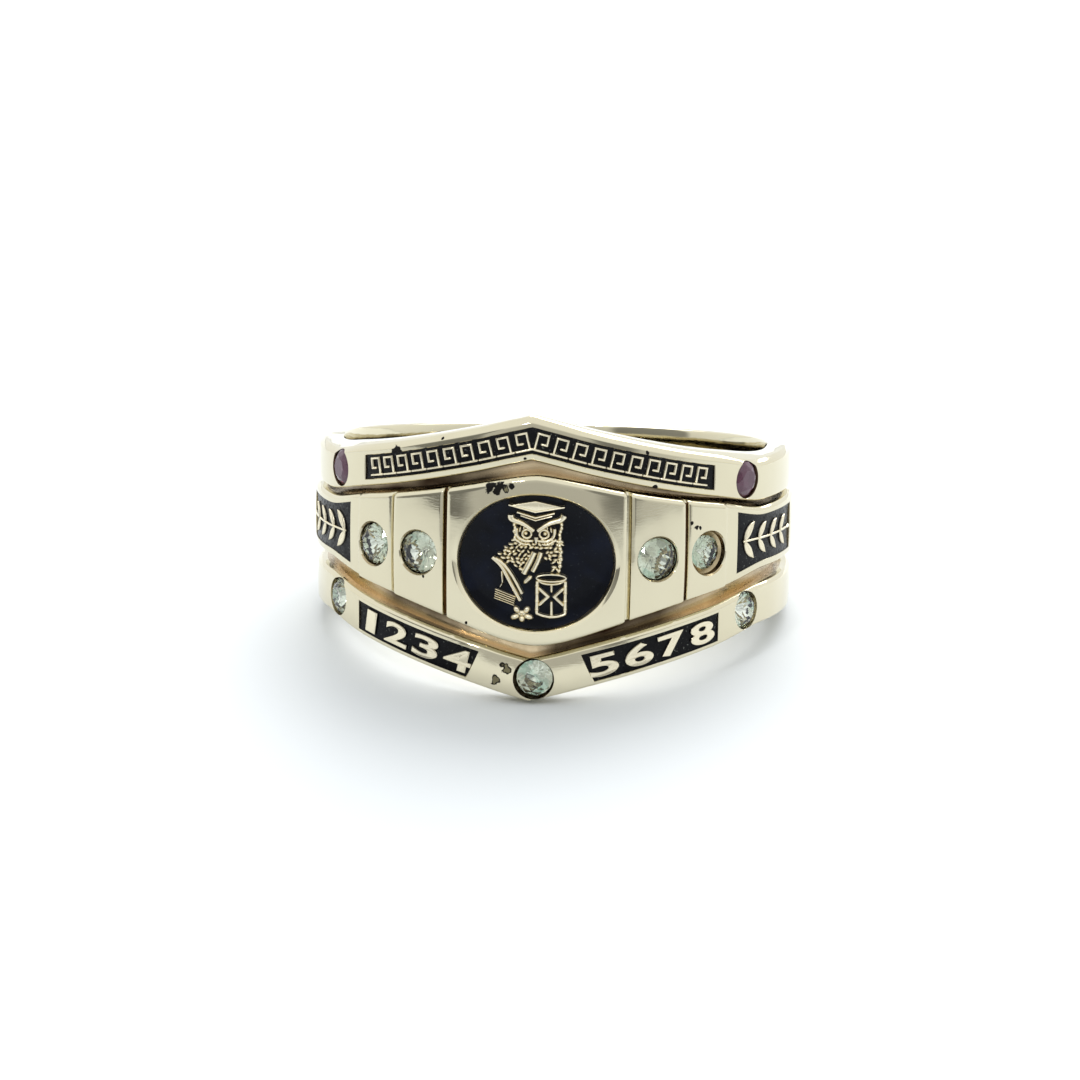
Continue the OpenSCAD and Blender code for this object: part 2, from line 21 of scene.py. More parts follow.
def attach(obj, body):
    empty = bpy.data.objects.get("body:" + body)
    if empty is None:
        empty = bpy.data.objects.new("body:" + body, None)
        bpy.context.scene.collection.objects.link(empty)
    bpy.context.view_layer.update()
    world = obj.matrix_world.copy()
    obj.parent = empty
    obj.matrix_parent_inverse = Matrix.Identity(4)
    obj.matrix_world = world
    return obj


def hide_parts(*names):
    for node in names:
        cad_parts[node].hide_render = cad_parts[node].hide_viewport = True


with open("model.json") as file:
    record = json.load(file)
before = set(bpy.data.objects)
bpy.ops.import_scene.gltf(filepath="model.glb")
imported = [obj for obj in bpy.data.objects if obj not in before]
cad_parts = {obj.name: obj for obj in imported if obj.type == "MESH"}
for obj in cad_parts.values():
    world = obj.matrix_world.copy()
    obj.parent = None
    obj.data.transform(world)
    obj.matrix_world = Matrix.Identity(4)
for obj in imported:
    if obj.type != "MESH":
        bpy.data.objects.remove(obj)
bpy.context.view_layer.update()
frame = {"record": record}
log = logging.getLogger("class_ring")

MM = 0.001
IMAGE_SIDE = 1080
Point = tuple[float, float, float]
Flat = tuple[float, float]
Placing = Callable[[float, float, float], Point]


# Sizes, in millimetres and degrees, as the part's source names them


@dataclass(frozen=True)
class RingSizes:
    """Radii, margins and angles that the pieces share."""

    bore_r: float = 9.1
    sleeve_r: float = 9.55
    upper_r: float = 10.2
    lower_r: float = 10.25
    signet_r: float = 10.35
    outer_plate_r: float = 10.49
    inner_plate_r: float = 10.63
    centre_plate_r: float = 10.77
    centre_end: float = 20.4
    inner_end: float = 34.8
    outer_end: float = 47.5
    plate_gap: float = 0.22
    signet_turn: float = 1.2
    oval_w: float = 6.5
    oval_h: float = 5.44
    oval_drop: float = 0.08
    oval_face_r: float = 10.35
    enamel_t: float = 0.2
    panel_sink: float = 0.1
    upper_panel_x: float = 7.2
    lower_panel_in: float = 2.1
    lower_panel_out: float = 7.5
    lower_panel_lean: float = 0.42
    side_near: float = 51.0
    side_far: float = 80.0
    side_margin: float = 0.3
    upper_margins: Flat = (0.27, 0.44)
    lower_margins: Flat = (0.15, 0.33)
    seat_gap: float = 0.03
    stone_sink: float = 0.16
    stone_depth: float = 0.41
    upper_stone_angle: float = 56.42
    inner_stone_angle: float = 27.4
    outer_stone_angle: float = 41.3
    lower_stone_angle: float = 56.92
    upper_stone_d: float = 1.5
    shoulder_stone_d: float = 1.8
    lower_stone_d: float = 1.62
    front_stone_angle: float = 1.0

    @property
    def gap_angle(self) -> float:
        """Half the angle that the groove between two plates takes."""
        return degrees(self.plate_gap / 2 / self.signet_r)


SIZES = RingSizes()


class Fall(Enum):
    """How a band's edge falls from the front to the sides: the column of FORM that it follows."""

    CHEVRON = 1
    CREST = 2
    BELLY = 3


# Share of the upper band's radius, then the fall of a chevron, the signet's crest and its belly
FORM = (
    (0.0, 1.0, 1.0, 1.0), (0.05, 0.945, 0.975, 0.985), (0.12, 0.872, 0.91, 0.925),
    (0.2, 0.775, 0.83, 0.82), (0.35, 0.615, 0.66, 0.61), (0.55, 0.4, 0.45, 0.37),
    (0.74, 0.2, 0.25, 0.19), (0.88, 0.0, 0.0, 0.0),
)


def mix(a: float, b: float, t: float) -> float:
    """Value between a, at 0, and b, at 1."""
    return a + (b - a) * t


@dataclass(frozen=True)
class Edge:
    """An edge of a band, by its height at the front, the sides and the back."""

    front: float
    side: float
    back: float
    fall: Fall
    foot: float | None = None
    turn: float = 0.0

    def raw(self, x: float, y: float) -> float:
        """Height before the corners of its line are eased.

        Args:
            x: Place across the ring.
            y: Place from front, below 0, to back.

        Returns:
            The height above the middle plane.
        """
        if y > 0 and self.foot is not None:
            start = 0.68 * SIZES.lower_r
            low = self.back - (SIZES.lower_r - start) * self.foot
            if y > start:
                return low + (y - start) * self.foot
            return self.side + (low - self.side) * y / start
        if y > 0:
            return self.side + (self.back - self.side) * min(y / SIZES.upper_r, 1)
        share = min(abs(x) / SIZES.upper_r, FORM[-1][0])
        near, away = next(pair for pair in zip(FORM, FORM[1:]) if share <= pair[1][0])
        column = self.fall.value
        fall = mix(near[column], away[column], (share - near[0]) / (away[0] - near[0]))
        return self.side + (self.front - self.side) * fall

    def height(self, angle: float, r: float) -> float:
        """Height of the edge with its corners eased, less so near the point at the front.

        Args:
            angle: Degrees round the ring from the front.
            r: Distance from the axis.

        Returns:
            The height above the middle plane.
        """
        angle = (angle - self.turn + 180) % 360 - 180
        reach = min(0.5 + 0.22 * min(abs(angle), 180 - abs(angle)), 3.5)
        total = 0.0
        for step, weight in ((-1.0, 1), (-0.5, 2), (0.0, 3), (0.5, 2), (1.0, 1)):
            turn = radians(angle + step * reach)
            total += weight * self.raw(r * sin(turn), -r * cos(turn))
        return total / 9


SIGNET_TOP = Edge(3.48, 1.45, 0.75, Fall.CREST, turn=SIZES.signet_turn)
SIGNET_LOW = Edge(-3.45, -1.1, -0.75, Fall.BELLY, turn=SIZES.signet_turn)
UPPER_LOW = Edge(4.03, 1.72, 1.01, Fall.CHEVRON)
UPPER_TOP = Edge(5.8, 3.42, 2.46, Fall.CHEVRON)
LOWER_TOP = Edge(-4.11, -1.82, -1.01, Fall.CHEVRON)
LOWER_BACK = -2.31
LOWER_FRONT = -5.85
FOOT_SLOPE = (LOWER_BACK - LOWER_FRONT) / (SIZES.lower_r + SIZES.bore_r)
LOWER_LOW = Edge(LOWER_FRONT, -3.48, LOWER_BACK, Fall.CHEVRON, FOOT_SLOPE)


def laid_down() -> Matrix:
    """Lays the ring on the surface, from the finger hole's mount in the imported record.

    Returns:
        The matrix from millimetres about the ring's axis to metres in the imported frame.
    """
    mount = frame["record"]["mounts"][0]
    axis = Vector(mount["axis"]).normalized()
    origin = Vector(mount["pos_m"]) - axis * (UPPER_TOP.front + LOWER_LOW.front) / 2 * MM
    tilt = Matrix.Rotation(-atan2(axis.y, axis.z), 4, "X")
    return Matrix.Translation(origin) @ tilt @ Matrix.Scale(MM, 4)


LAID = laid_down()


def around(angle: float, r: float, z: float) -> Point:
    """Point at an angle from the front, a distance from the axis and a height."""
    return r * sin(radians(angle)), -r * cos(radians(angle)), z


def angle_of(point: Vector) -> float:
    """Degrees round the ring from the front."""
    return degrees(atan2(point.x, -point.y))


def angle_at(x: float, r: float) -> float:
    """Angle from the front at which a radius reaches a distance to the side."""
    return degrees(asin(x / r))


# Modelling


def take(obj: Object | None = None) -> None:
    """Selects one object alone and makes it the active one.

    Args:
        obj: The object, or None to leave nothing selected.
    """
    bpy.ops.object.select_all(action="DESELECT")
    if obj:
        obj.select_set(True)
        bpy.context.view_layer.objects.active = obj


@contextmanager
def editing(obj: Object) -> Iterator[None]:
    """Opens an object in edit mode with all of it selected, and closes it.

    Args:
        obj: The object.
    """
    take(obj)
    bpy.ops.object.mode_set(mode="EDIT")
    bpy.ops.mesh.select_all(action="SELECT")
    yield
    bpy.ops.object.mode_set(mode="OBJECT")


def primitive(name: str, add: Callable, **sizes: object) -> Object:
    """Adds a primitive alone, so that an operator acts on new work, and names it.

    Args:
        name: The object's name.
        add: The operator that adds it.
        sizes: Its settings.

    Returns:
        The new object.
    """
    take()
    add(**sizes)
    bpy.context.object.name = name
    return bpy.context.object


def shape(obj: Object, place: Placing) -> Object:
    """Moves each vertex from a flat layout to its place on the ring.

    Args:
        obj: The object laid out flat.
        place: Gives the place of a point of the layout.

    Returns:
        The same object.
    """
    for vertex in obj.data.vertices:
        vertex.co = place(*vertex.co)
    obj.data.update()
    return obj


def solid(obj: Object, place: Placing) -> Object:
    """Shapes a closed form and turns every face outwards.

    Args:
        obj: The form, laid out flat.
        place: Gives the place of a point of the layout.

    Returns:
        The same object.
    """
    shape(obj, place)
    with editing(obj):
        bpy.ops.mesh.normals_make_consistent(inside=False)
    return obj


def raise_levels(obj: Object, levels: int) -> Object:
    """Extrudes a flat outline upwards, one unit for each level.

    Args:
        obj: The outline.
        levels: How many levels it ends with.

    Returns:
        The same object.
    """
    with editing(obj):
        for _ in range(levels - 1):
            bpy.ops.mesh.extrude_region_move(TRANSFORM_OT_translate={"value": (0, 0, 1)})
    return obj


def slab(name: str, columns: int, rows: int, levels: int) -> Object:
    """A closed block: X and Y run from -1 to 1 over a grid, and Z counts the levels."""
    sizes = {"x_subdivisions": columns, "y_subdivisions": rows, "size": 2}
    return raise_levels(primitive(name, bpy.ops.mesh.primitive_grid_add, **sizes), levels)


def disc(name: str, sides: int, levels: int, rings: Sequence[float] = ()) -> Object:
    """A closed round block of radius 1, whose Z counts the levels.

    Args:
        name: The object's name.
        sides: Corners of its outline.
        levels: Levels of its height.
        rings: Widths of the rings inset from its outline, on both of its ends.

    Returns:
        The block.
    """
    add = bpy.ops.mesh.primitive_circle_add
    obj = primitive(name, add, vertices=sides, radius=1, fill_type="NGON")
    with editing(obj):
        for width in rings:
            bpy.ops.mesh.inset(thickness=width)
    return raise_levels(obj, levels)


def cut(target: Object, tools: Sequence[Object]) -> None:
    """Cuts the tools out of an object; the cuts keep the tools' finishes.

    Args:
        target: The object that is cut.
        tools: Closed shapes, which are used up.
    """
    bench = bpy.data.collections.new("bench")
    for tool in tools:
        bench.objects.link(tool)
    modifier = target.modifiers.new("cuts", "BOOLEAN")
    modifier.operation = "DIFFERENCE"
    modifier.operand_type = "COLLECTION"
    modifier.collection = bench
    modifier.solver = "EXACT"
    modifier.material_mode = "TRANSFER"
    take(target)
    bpy.ops.object.modifier_apply(modifier=modifier.name)
    for tool in tools:
        bpy.data.objects.remove(tool)
    bpy.data.collections.remove(bench)


def joined(parts: Sequence[Object], name: str) -> Object:
    """Joins several objects into one.

    Args:
        parts: The objects.
        name: The joined object's name.

    Returns:
        The first of them, which holds all.
    """
    take()
    for part in parts:
        part.select_set(True)
    bpy.context.view_layer.objects.active = parts[0]
    if len(parts) > 1:
        bpy.ops.object.join()
    parts[0].name = name
    return parts[0]


def copied(mesh: bpy.types.Mesh, name: str) -> Object:
    """A new object with its own copy of a mesh.

    Args:
        mesh: The mesh.
        name: The object's name.

    Returns:
        The new object.
    """
    copy = bpy.data.objects.new(name, mesh.copy())
    bpy.context.scene.collection.objects.link(copy)
    return copy


def finish_piece(
    obj: Object, finishes: Sequence[Material], node: str, smooth: float | None = 32
) -> Object:
    """Lays a piece down with the ring and dresses it.

    Args:
        obj: The piece, in millimetres about the ring's axis.
        finishes: Its materials, in the order of its faces' indices.
        node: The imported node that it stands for.
        smooth: Degrees under which an edge is shaded smooth, or None for facets.

    Returns:
        The same piece.
    """
    obj.data.transform(LAID)
    for finish in finishes:
        obj.data.materials.append(finish)
    if smooth is not None:
        take(obj)
        bpy.ops.object.shade_smooth_by_angle(angle=radians(smooth))
    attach(obj, "root")
    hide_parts(node)
    log.info("%s: %d faces, stands for %s", obj.name, len(obj.data.polygons), node)
    return obj


# Finishes


def linear(hex_colour: str) -> tuple[float, float, float, float]:
    """Linear colour of an sRGB hex value.

    Args:
        hex_colour: Six digits after a #.

    Returns:
        Red, green, blue and 1.
    """
    parts = [int(hex_colour[i : i + 2], 16) / 255 for i in (1, 3, 5)]
    r, g, b = (c / 12.92 if c <= 0.04045 else ((c + 0.055) / 1.055) ** 2.4 for c in parts)
    return r, g, b, 1.0


def per_mm(size: float) -> float:
    """Texture scale at which a pattern repeats about every size millimetres."""
    return 1 / (size * MM)


def plug(node: Node, links: dict[str | int, object] | Sequence[object]) -> None:
    """Feeds a node's inputs, by name or in their order, with sockets and plain values.

    Args:
        node: The node.
        links: For each input, a value or the socket that feeds it.
    """
    for name, value in links.items() if isinstance(links, dict) else enumerate(links):
        if isinstance(value, NodeSocket):
            node.id_data.links.new(value, node.inputs[name])
        else:
            node.inputs[name].default_value = value


def add_node(
    tree: NodeTree, kind: str, links: dict[str | int, object] | Sequence[object] = (),
    out: str = "Result", **settings: object,
) -> NodeSocket:
    """Adds a node, sets it and links it.

    Args:
        tree: The material's or world's node tree.
        kind: The node's type, without its first word ShaderNode.
        links: For each input, by name or in order, a value or the socket that feeds it.
        out: The output that is wanted.
        settings: The node's own properties.

    Returns:
        The output's socket.
    """
    node = tree.nodes.new(f"ShaderNode{kind}")
    for name, value in settings.items():
        setattr(node, name, value)
    plug(node, links)
    return node.outputs[out]


@dataclass(frozen=True)
class Finish:
    """A finish, its patterns in the piece's own space; by itself it is matt pale paper."""

    name: str

    def build(self) -> Material:
        """Makes the material.

        Returns:
            The material.
        """
        material = bpy.data.materials.new(self.name)
        material.use_nodes = True
        tree = material.node_tree
        tree.nodes.clear()
        surface = add_node(tree, "BsdfPrincipled", out="BSDF")
        tree.links.new(surface, tree.nodes.new("ShaderNodeOutputMaterial").inputs["Surface"])
        plug(surface.node, self.dress(tree, add_node(tree, "TexCoord", out="Object")))
        return material

    def dress(self, tree: NodeTree, place: NodeSocket) -> dict[str, object]:
        """What feeds the shader's inputs.

        Args:
            tree: The material's tree.
            place: Object coordinates.

        Returns:
            A value or a socket for each input.
        """
        return {"Base Color": linear("#d3d6d8"), "Roughness": 0.7}


@dataclass(frozen=True)
class Spot:
    """A speck of dirt or a pit's dark floor: where it is on the ring, how large and how worn."""

    angle: float
    r: float
    z: float
    size: float
    worn: float = 0.0


@dataclass(frozen=True)
class CastGold(Finish):
    """Pale 10 karat yellow gold, cast, filed and buffed: a soft mirror with fine scratches.

    Where it paints groove shade, it reads a point attribute of painted shade, mixed with some
    tarnish: 0 on clean gold and 1 where a groove is darkest.
    """

    colour: str = "#d9d1b6"
    roughness: float = 0.06
    tarnish: str = "#9a6a38"
    tarnish_share: float = 0.0
    sooty: bool = False
    spots: tuple[Spot, ...] = ()

    def dress(self, tree: NodeTree, place: NodeSocket) -> dict[str, object]:
        """What feeds the shader's inputs.

        Args:
            tree: The material's tree.
            place: Object coordinates.

        Returns:
            A value or a socket for each input.
        """
        links = {"Vector": place, "Scale": (0.3, 0.3, 1.6), "Rotation": (0, 0.5, 0)}
        stretch = add_node(tree, "Mapping", links, "Vector")
        # Buffing leaves waves about 1.5 mm long that bend the reflections a little. Handling
        # scratches, a few hundredths of a millimetre wide, are drawn coarser to show.
        waves, scratches, grain = (
            add_node(tree, "TexNoise", {"Vector": at, "Scale": per_mm(mm), "Detail": fine}, "Fac")
            for at, mm, fine in ((place, 1.6, 1.0), (stretch, 0.12, 3.0), (place, 0.35, 4.0))
        )
        dull, full = self.roughness * 1.5, self.tarnish_share
        rough = add_node(tree, "MapRange", (grain, 0.35, 0.7, self.roughness * 0.7, dull))
        if self.sooty:
            # Painted shade under the bands' overhanging edges, mixed with some tarnish, read from
            # the grooves' point attribute
            soot = add_node(tree, "Attribute", out="Fac", attribute_name="soot")
            shade_cover = add_node(tree, "Math", (waves, 0.4, soot), "Value", operation="MULTIPLY_ADD")
            tarnish_and_shade = add_node(tree, "MapRange", (shade_cover, 0.2, 1.15))
        else:
            most = min(full * 1.4 + 0.04, 1)
            tarnish_and_shade = add_node(tree, "MapRange", (waves, 0.3, 0.7, full * 0.6, most))
        links = {"Factor": tarnish_and_shade, "A": linear(self.colour), "B": linear(self.tarnish)}
        toned = add_node(tree, "Mix", links, data_type="RGBA")
        metal: NodeSocket | float = 1.0
        specular = 0.5
        if self.spots:
            links = {"Vector": place, "Scale": per_mm(0.2), "Detail": 3.0}
            fray = add_node(tree, "TexNoise", links, "Fac")
            mask = self.spot_mask(tree, place, fray, self.spots, 0.1)
            worn = self.spot_mask(tree, place, fray, [s for s in self.spots if s.worn], 0.5)
            links = {"Factor": worn, "A": linear("#0d0a07"), "B": linear("#7d7659")}
            dirt = add_node(tree, "Mix", links, data_type="RGBA")
            toned = add_node(tree, "Mix", {"Factor": mask, "A": toned, "B": dirt}, data_type="RGBA")
            metal = add_node(tree, "Math", (1.0, mask), "Value", operation="SUBTRACT")
            rough = add_node(tree, "MapRange", (mask, 0.0, 1.0, rough, 0.6))
            specular = 0.15
        links = {"Height": waves, "Strength": 1.0, "Distance": 0.02 * MM}
        soft = add_node(tree, "Bump", links, "Normal")
        links = {"Height": scratches, "Strength": 0.25, "Distance": 0.003 * MM, "Normal": soft}
        return {
            "Base Color": toned, "Metallic": metal, "Roughness": rough,
            "Specular IOR Level": specular, "Normal": add_node(tree, "Bump", links, "Normal"),
        }

    def spot_mask(
        self, tree: NodeTree, place: NodeSocket, grain: NodeSocket, spots: Sequence[Spot],
        inset: float,
    ) -> NodeSocket:
        """Where dirt sits, ragged at its edge.

        Args:
            tree: The material's tree.
            place: Object coordinates.
            grain: A fine noise that frays the edge.
            spots: The specks to show.
            inset: How far inside each speck's edge the mask starts, as a share of its size.

        Returns:
            1 in a speck and 0 outside all of them.
        """
        total: NodeSocket | None = None
        for spot in spots:
            centre, size = LAID @ Vector(around(spot.angle, spot.r, spot.z)), spot.size * MM
            away = add_node(tree, "VectorMath", (place, centre), "Value", operation="DISTANCE")
            links = (grain, -2.4 * size, away)
            frayed = add_node(tree, "Math", links, "Value", operation="MULTIPLY_ADD")
            most = spot.worn if inset > 0.3 else 1.0
            links = (frayed, -inset * size, -(inset + 0.15) * size, 0.0, most)
            one = add_node(tree, "MapRange", links)
            if total:
                one = add_node(tree, "Math", (total, one), "Value", operation="MAXIMUM")
            total = one
        return total


@dataclass(frozen=True)
class ReliefGold(Finish):
    """Raised cast gold with black left in its low places, its tops rubbed bright.

    It reads the attribute relief, 0 at the enamel and 1 at the top of the figure.
    """

    colour: str = "#e9dfc4"
    dark: str = "#14100c"
    low: float = 0.12
    high: float = 0.4
    roughness: float = 0.22

    def dress(self, tree: NodeTree, place: NodeSocket) -> dict[str, object]:
        """What feeds the shader's inputs.

        Args:
            tree: The material's tree.
            place: Object coordinates.

        Returns:
            A value or a socket for each input.
        """
        relief = add_node(tree, "Attribute", out="Fac", attribute_name="relief")
        # The casting's skin: grains about 0.08 mm across
        links = {"Vector": place, "Scale": per_mm(0.09), "Detail": 3.0}
        skin = add_node(tree, "TexNoise", links, "Fac")
        worn = add_node(tree, "Math", (skin, 0.3, relief), "Value", operation="MULTIPLY_ADD")
        bright = add_node(tree, "MapRange", (worn, self.low + 0.15, self.high + 0.15))
        links = {"Factor": bright, "A": linear(self.dark), "B": linear(self.colour)}
        colour = add_node(tree, "Mix", links, data_type="RGBA")
        r = self.roughness
        rough = add_node(tree, "MapRange", (skin, 0.0, 1.0, r * 0.6, r * 1.5))
        links = {"Height": skin, "Strength": 0.4, "Distance": 0.01 * MM}
        return {
            "Base Color": colour, "Metallic": bright, "Specular IOR Level": 0.15,
            "Roughness": rough, "Normal": add_node(tree, "Bump", links, "Normal"),
        }


@dataclass(frozen=True)
class Enamel(Finish):
    """Fired enamel, filled by hand: glossy, nearly black, faintly wavy, with a few dull marks."""

    colour: str
    glow: str
    roughness: float = 0.12
    wave: float = 0.01
    speck: str = "#6f716a"

    def dress(self, tree: NodeTree, place: NodeSocket) -> dict[str, object]:
        """What feeds the shader's inputs.

        Args:
            tree: The material's tree.
            place: Object coordinates.

        Returns:
            A value or a socket for each input.
        """
        # The melt's pools, rubbed marks, and pinholes with dust, specks of a tenth of a millimetre
        pool, marks, dust = (
            add_node(tree, "TexNoise", {"Vector": place, "Scale": per_mm(mm), "Detail": d}, "Fac")
            for mm, d in ((1.4, 2.0), (0.15, 4.0), (0.11, 2.0))
        )
        colour: object = linear(self.colour)
        for pattern, low, high, most, tone in (
            (pool, 0.45, 0.75, 1.0, self.glow), (dust, 0.66, 0.74, 0.8, self.speck)
        ):
            share = add_node(tree, "MapRange", (pattern, low, high, 0.0, most))
            links = {"Factor": share, "A": colour, "B": linear(tone)}
            colour = add_node(tree, "Mix", links, data_type="RGBA")
        r = self.roughness
        rough = add_node(tree, "MapRange", (marks, 0.45, 0.75, r, r * 2.5))
        links = {"Height": pool, "Strength": 0.5, "Distance": self.wave * MM}
        return {
            "Base Color": colour, "Roughness": rough, "IOR": 1.4, "Specular IOR Level": 0.18,
            "Normal": add_node(tree, "Bump", links, "Normal"),
        }


@dataclass(frozen=True)
class CutStone(Finish):
    """A cut stone's clear crown: crystal glass, faintly tinted."""

    colour: str
    roughness: float = 0.02
    transmission: float = 1.0

    def dress(self, tree: NodeTree, place: NodeSocket) -> dict[str, object]:
        """What feeds the shader's inputs.

        Args:
            tree: The material's tree.
            place: Object coordinates.

        Returns:
            A value or a socket for each input.
        """
        # Rubbed facet edges and a film of dust, in patches about 0.3 mm across
        links = {"Vector": place, "Scale": per_mm(0.3), "Detail": 3.0}
        film = add_node(tree, "TexNoise", links, "Fac")
        r = self.roughness
        return {
            "Base Color": linear(self.colour), "Transmission Weight": self.transmission,
            "IOR": 1.6, "Roughness": add_node(tree, "MapRange", (film, 0.5, 0.8, r, r + 0.03)),
        }


@dataclass(frozen=True)
class StoneFoil(Finish):
    """The silvered back of a crystal, seen through its crown."""

    colour: str
    # How strong the painted teal and straw reflections on the facets are
    turned: float = 0.0

    def dress(self, tree: NodeTree, place: NodeSocket) -> dict[str, object]:
        """What feeds the shader's inputs.

        Args:
            tree: The material's tree.
            place: Object coordinates.

        Returns:
            A value or a socket for each input.
        """
        tone, turned = (
            add_node(tree, "TexNoise", {"Vector": place, "Scale": per_mm(mm), "Detail": 0.0}, "Fac")
            for mm in (1.2, 0.9)
        )
        links = {"Factor": tone, "A": linear(self.colour), "B": linear("#c6cfbf")}
        colour = add_node(tree, "Mix", links, data_type="RGBA")
        # Painted reflections: teal and straw patches on some of the foil's facets
        for low, high, painted_reflection_tint in ((0.57, 0.63, "#5fae9e"), (0.42, 0.37, "#9c9680")):
            share = add_node(tree, "MapRange", (turned, low, high, 0.0, self.turned))
            links = {"Factor": share, "A": colour, "B": linear(painted_reflection_tint)}
            colour = add_node(tree, "Mix", links, data_type="RGBA")
        return {"Base Color": colour, "Metallic": 1.0, "Roughness": 0.04}


# Specks, pits and stains on the gold: angle, radius, height, size and how worn
SPOTS = tuple(
    Spot(*row)
    for row in (
        (-34.1, 10.12, 4.02, 0.2), (-35.0, 10.16, 3.93, 0.14), (-21.5, 10.12, 4.7, 0.07),
        (-19.5, 10.2, 3.15, 0.1), (-1.5, 10.2, 4.1, 0.07), (26.5, 10.14, 4.3, 0.08),
        (28.5, 10.2, 2.85, 0.12), (-5.2, 10.25, -4.57, 0.2, 0.9), (-6.2, 10.25, -4.42, 0.12, 0.5),
        (-7.6, 10.25, -5.03, 0.18, 0.8), (37.4, 10.49, 1.34, 0.07), (38.6, 10.49, 1.14, 0.1),
        (39.7, 10.49, 1.1, 0.08), (-8.6, 10.77, 3.0, 0.24), (-7.4, 10.77, 2.88, 0.2),
        (-6.4, 10.77, 3.04, 0.2), (-5.4, 10.77, 2.9, 0.16, 0.8), (-4.1, 10.77, 3.05, 0.13),
        (-13.9, 10.77, -2.65, 0.07), (-24.6, 10.63, -0.95, 0.07),
    )
)
# Painted shade, with some tarnish, on each groove's floor: angle, then how dark beside the outer
# band, in its middle and beside the signet
LOWER_GROOVE_SHADE = (
    (-180, 0.3, 0.5, 0.8), (-72, 0.3, 0.5, 0.8), (-60, 0.0, 0.1, 0.3), (-44, 0.0, 0.2, 0.5),
    (-38, 0.2, 0.8, 1.0), (-20, 0.1, 0.7, 1.0), (-14, 0.0, 0.15, 0.5), (1, 0.0, 0.05, 0.3),
    (6, 0.75, 0.85, 1.0), (32, 0.75, 0.85, 1.0), (38, 0.2, 0.5, 0.9), (46, 0.0, 0.15, 0.5),
    (60, 0.0, 0.2, 0.6), (72, 0.3, 0.5, 0.8), (180, 0.3, 0.5, 0.8),
)
UPPER_GROOVE_SHADE = (
    (-180, 0.5, 0.5, 0.8), (-60, 0.3, 0.5, 0.7), (-40, 0.2, 0.7, 1.0), (-28, 0.9, 0.95, 0.95),
    (-18, 0.95, 0.9, 0.9), (-12, 1.0, 0.5, 0.8), (-5, 0.95, 0.0, 0.2), (14, 0.95, 0.0, 0.0),
    (22, 1.0, 0.5, 0.2), (30, 1.0, 0.9, 0.6), (60, 0.9, 0.6, 0.6), (180, 0.5, 0.5, 0.8),
)
# The casting's finishes, in the order of its faces' indices
CASTING_FINISHES = (
    CastGold("polished_cast_gold", spots=SPOTS),
    # The grooves' floors take painted shade, with some tarnish, from the casting's point attribute
    CastGold("groove_gold", "#dcc5a0", 0.2, "#24150b", sooty=True),
    CastGold("recess_gold", "#cdbb95", 0.3, "#4a3a26", 0.3),
    # The floors between the plates get a darker, duller gold
    CastGold("dark_plate_groove_gold", "#8a6a48", 0.35, "#2a1a10", 0.6),
)


# The casting


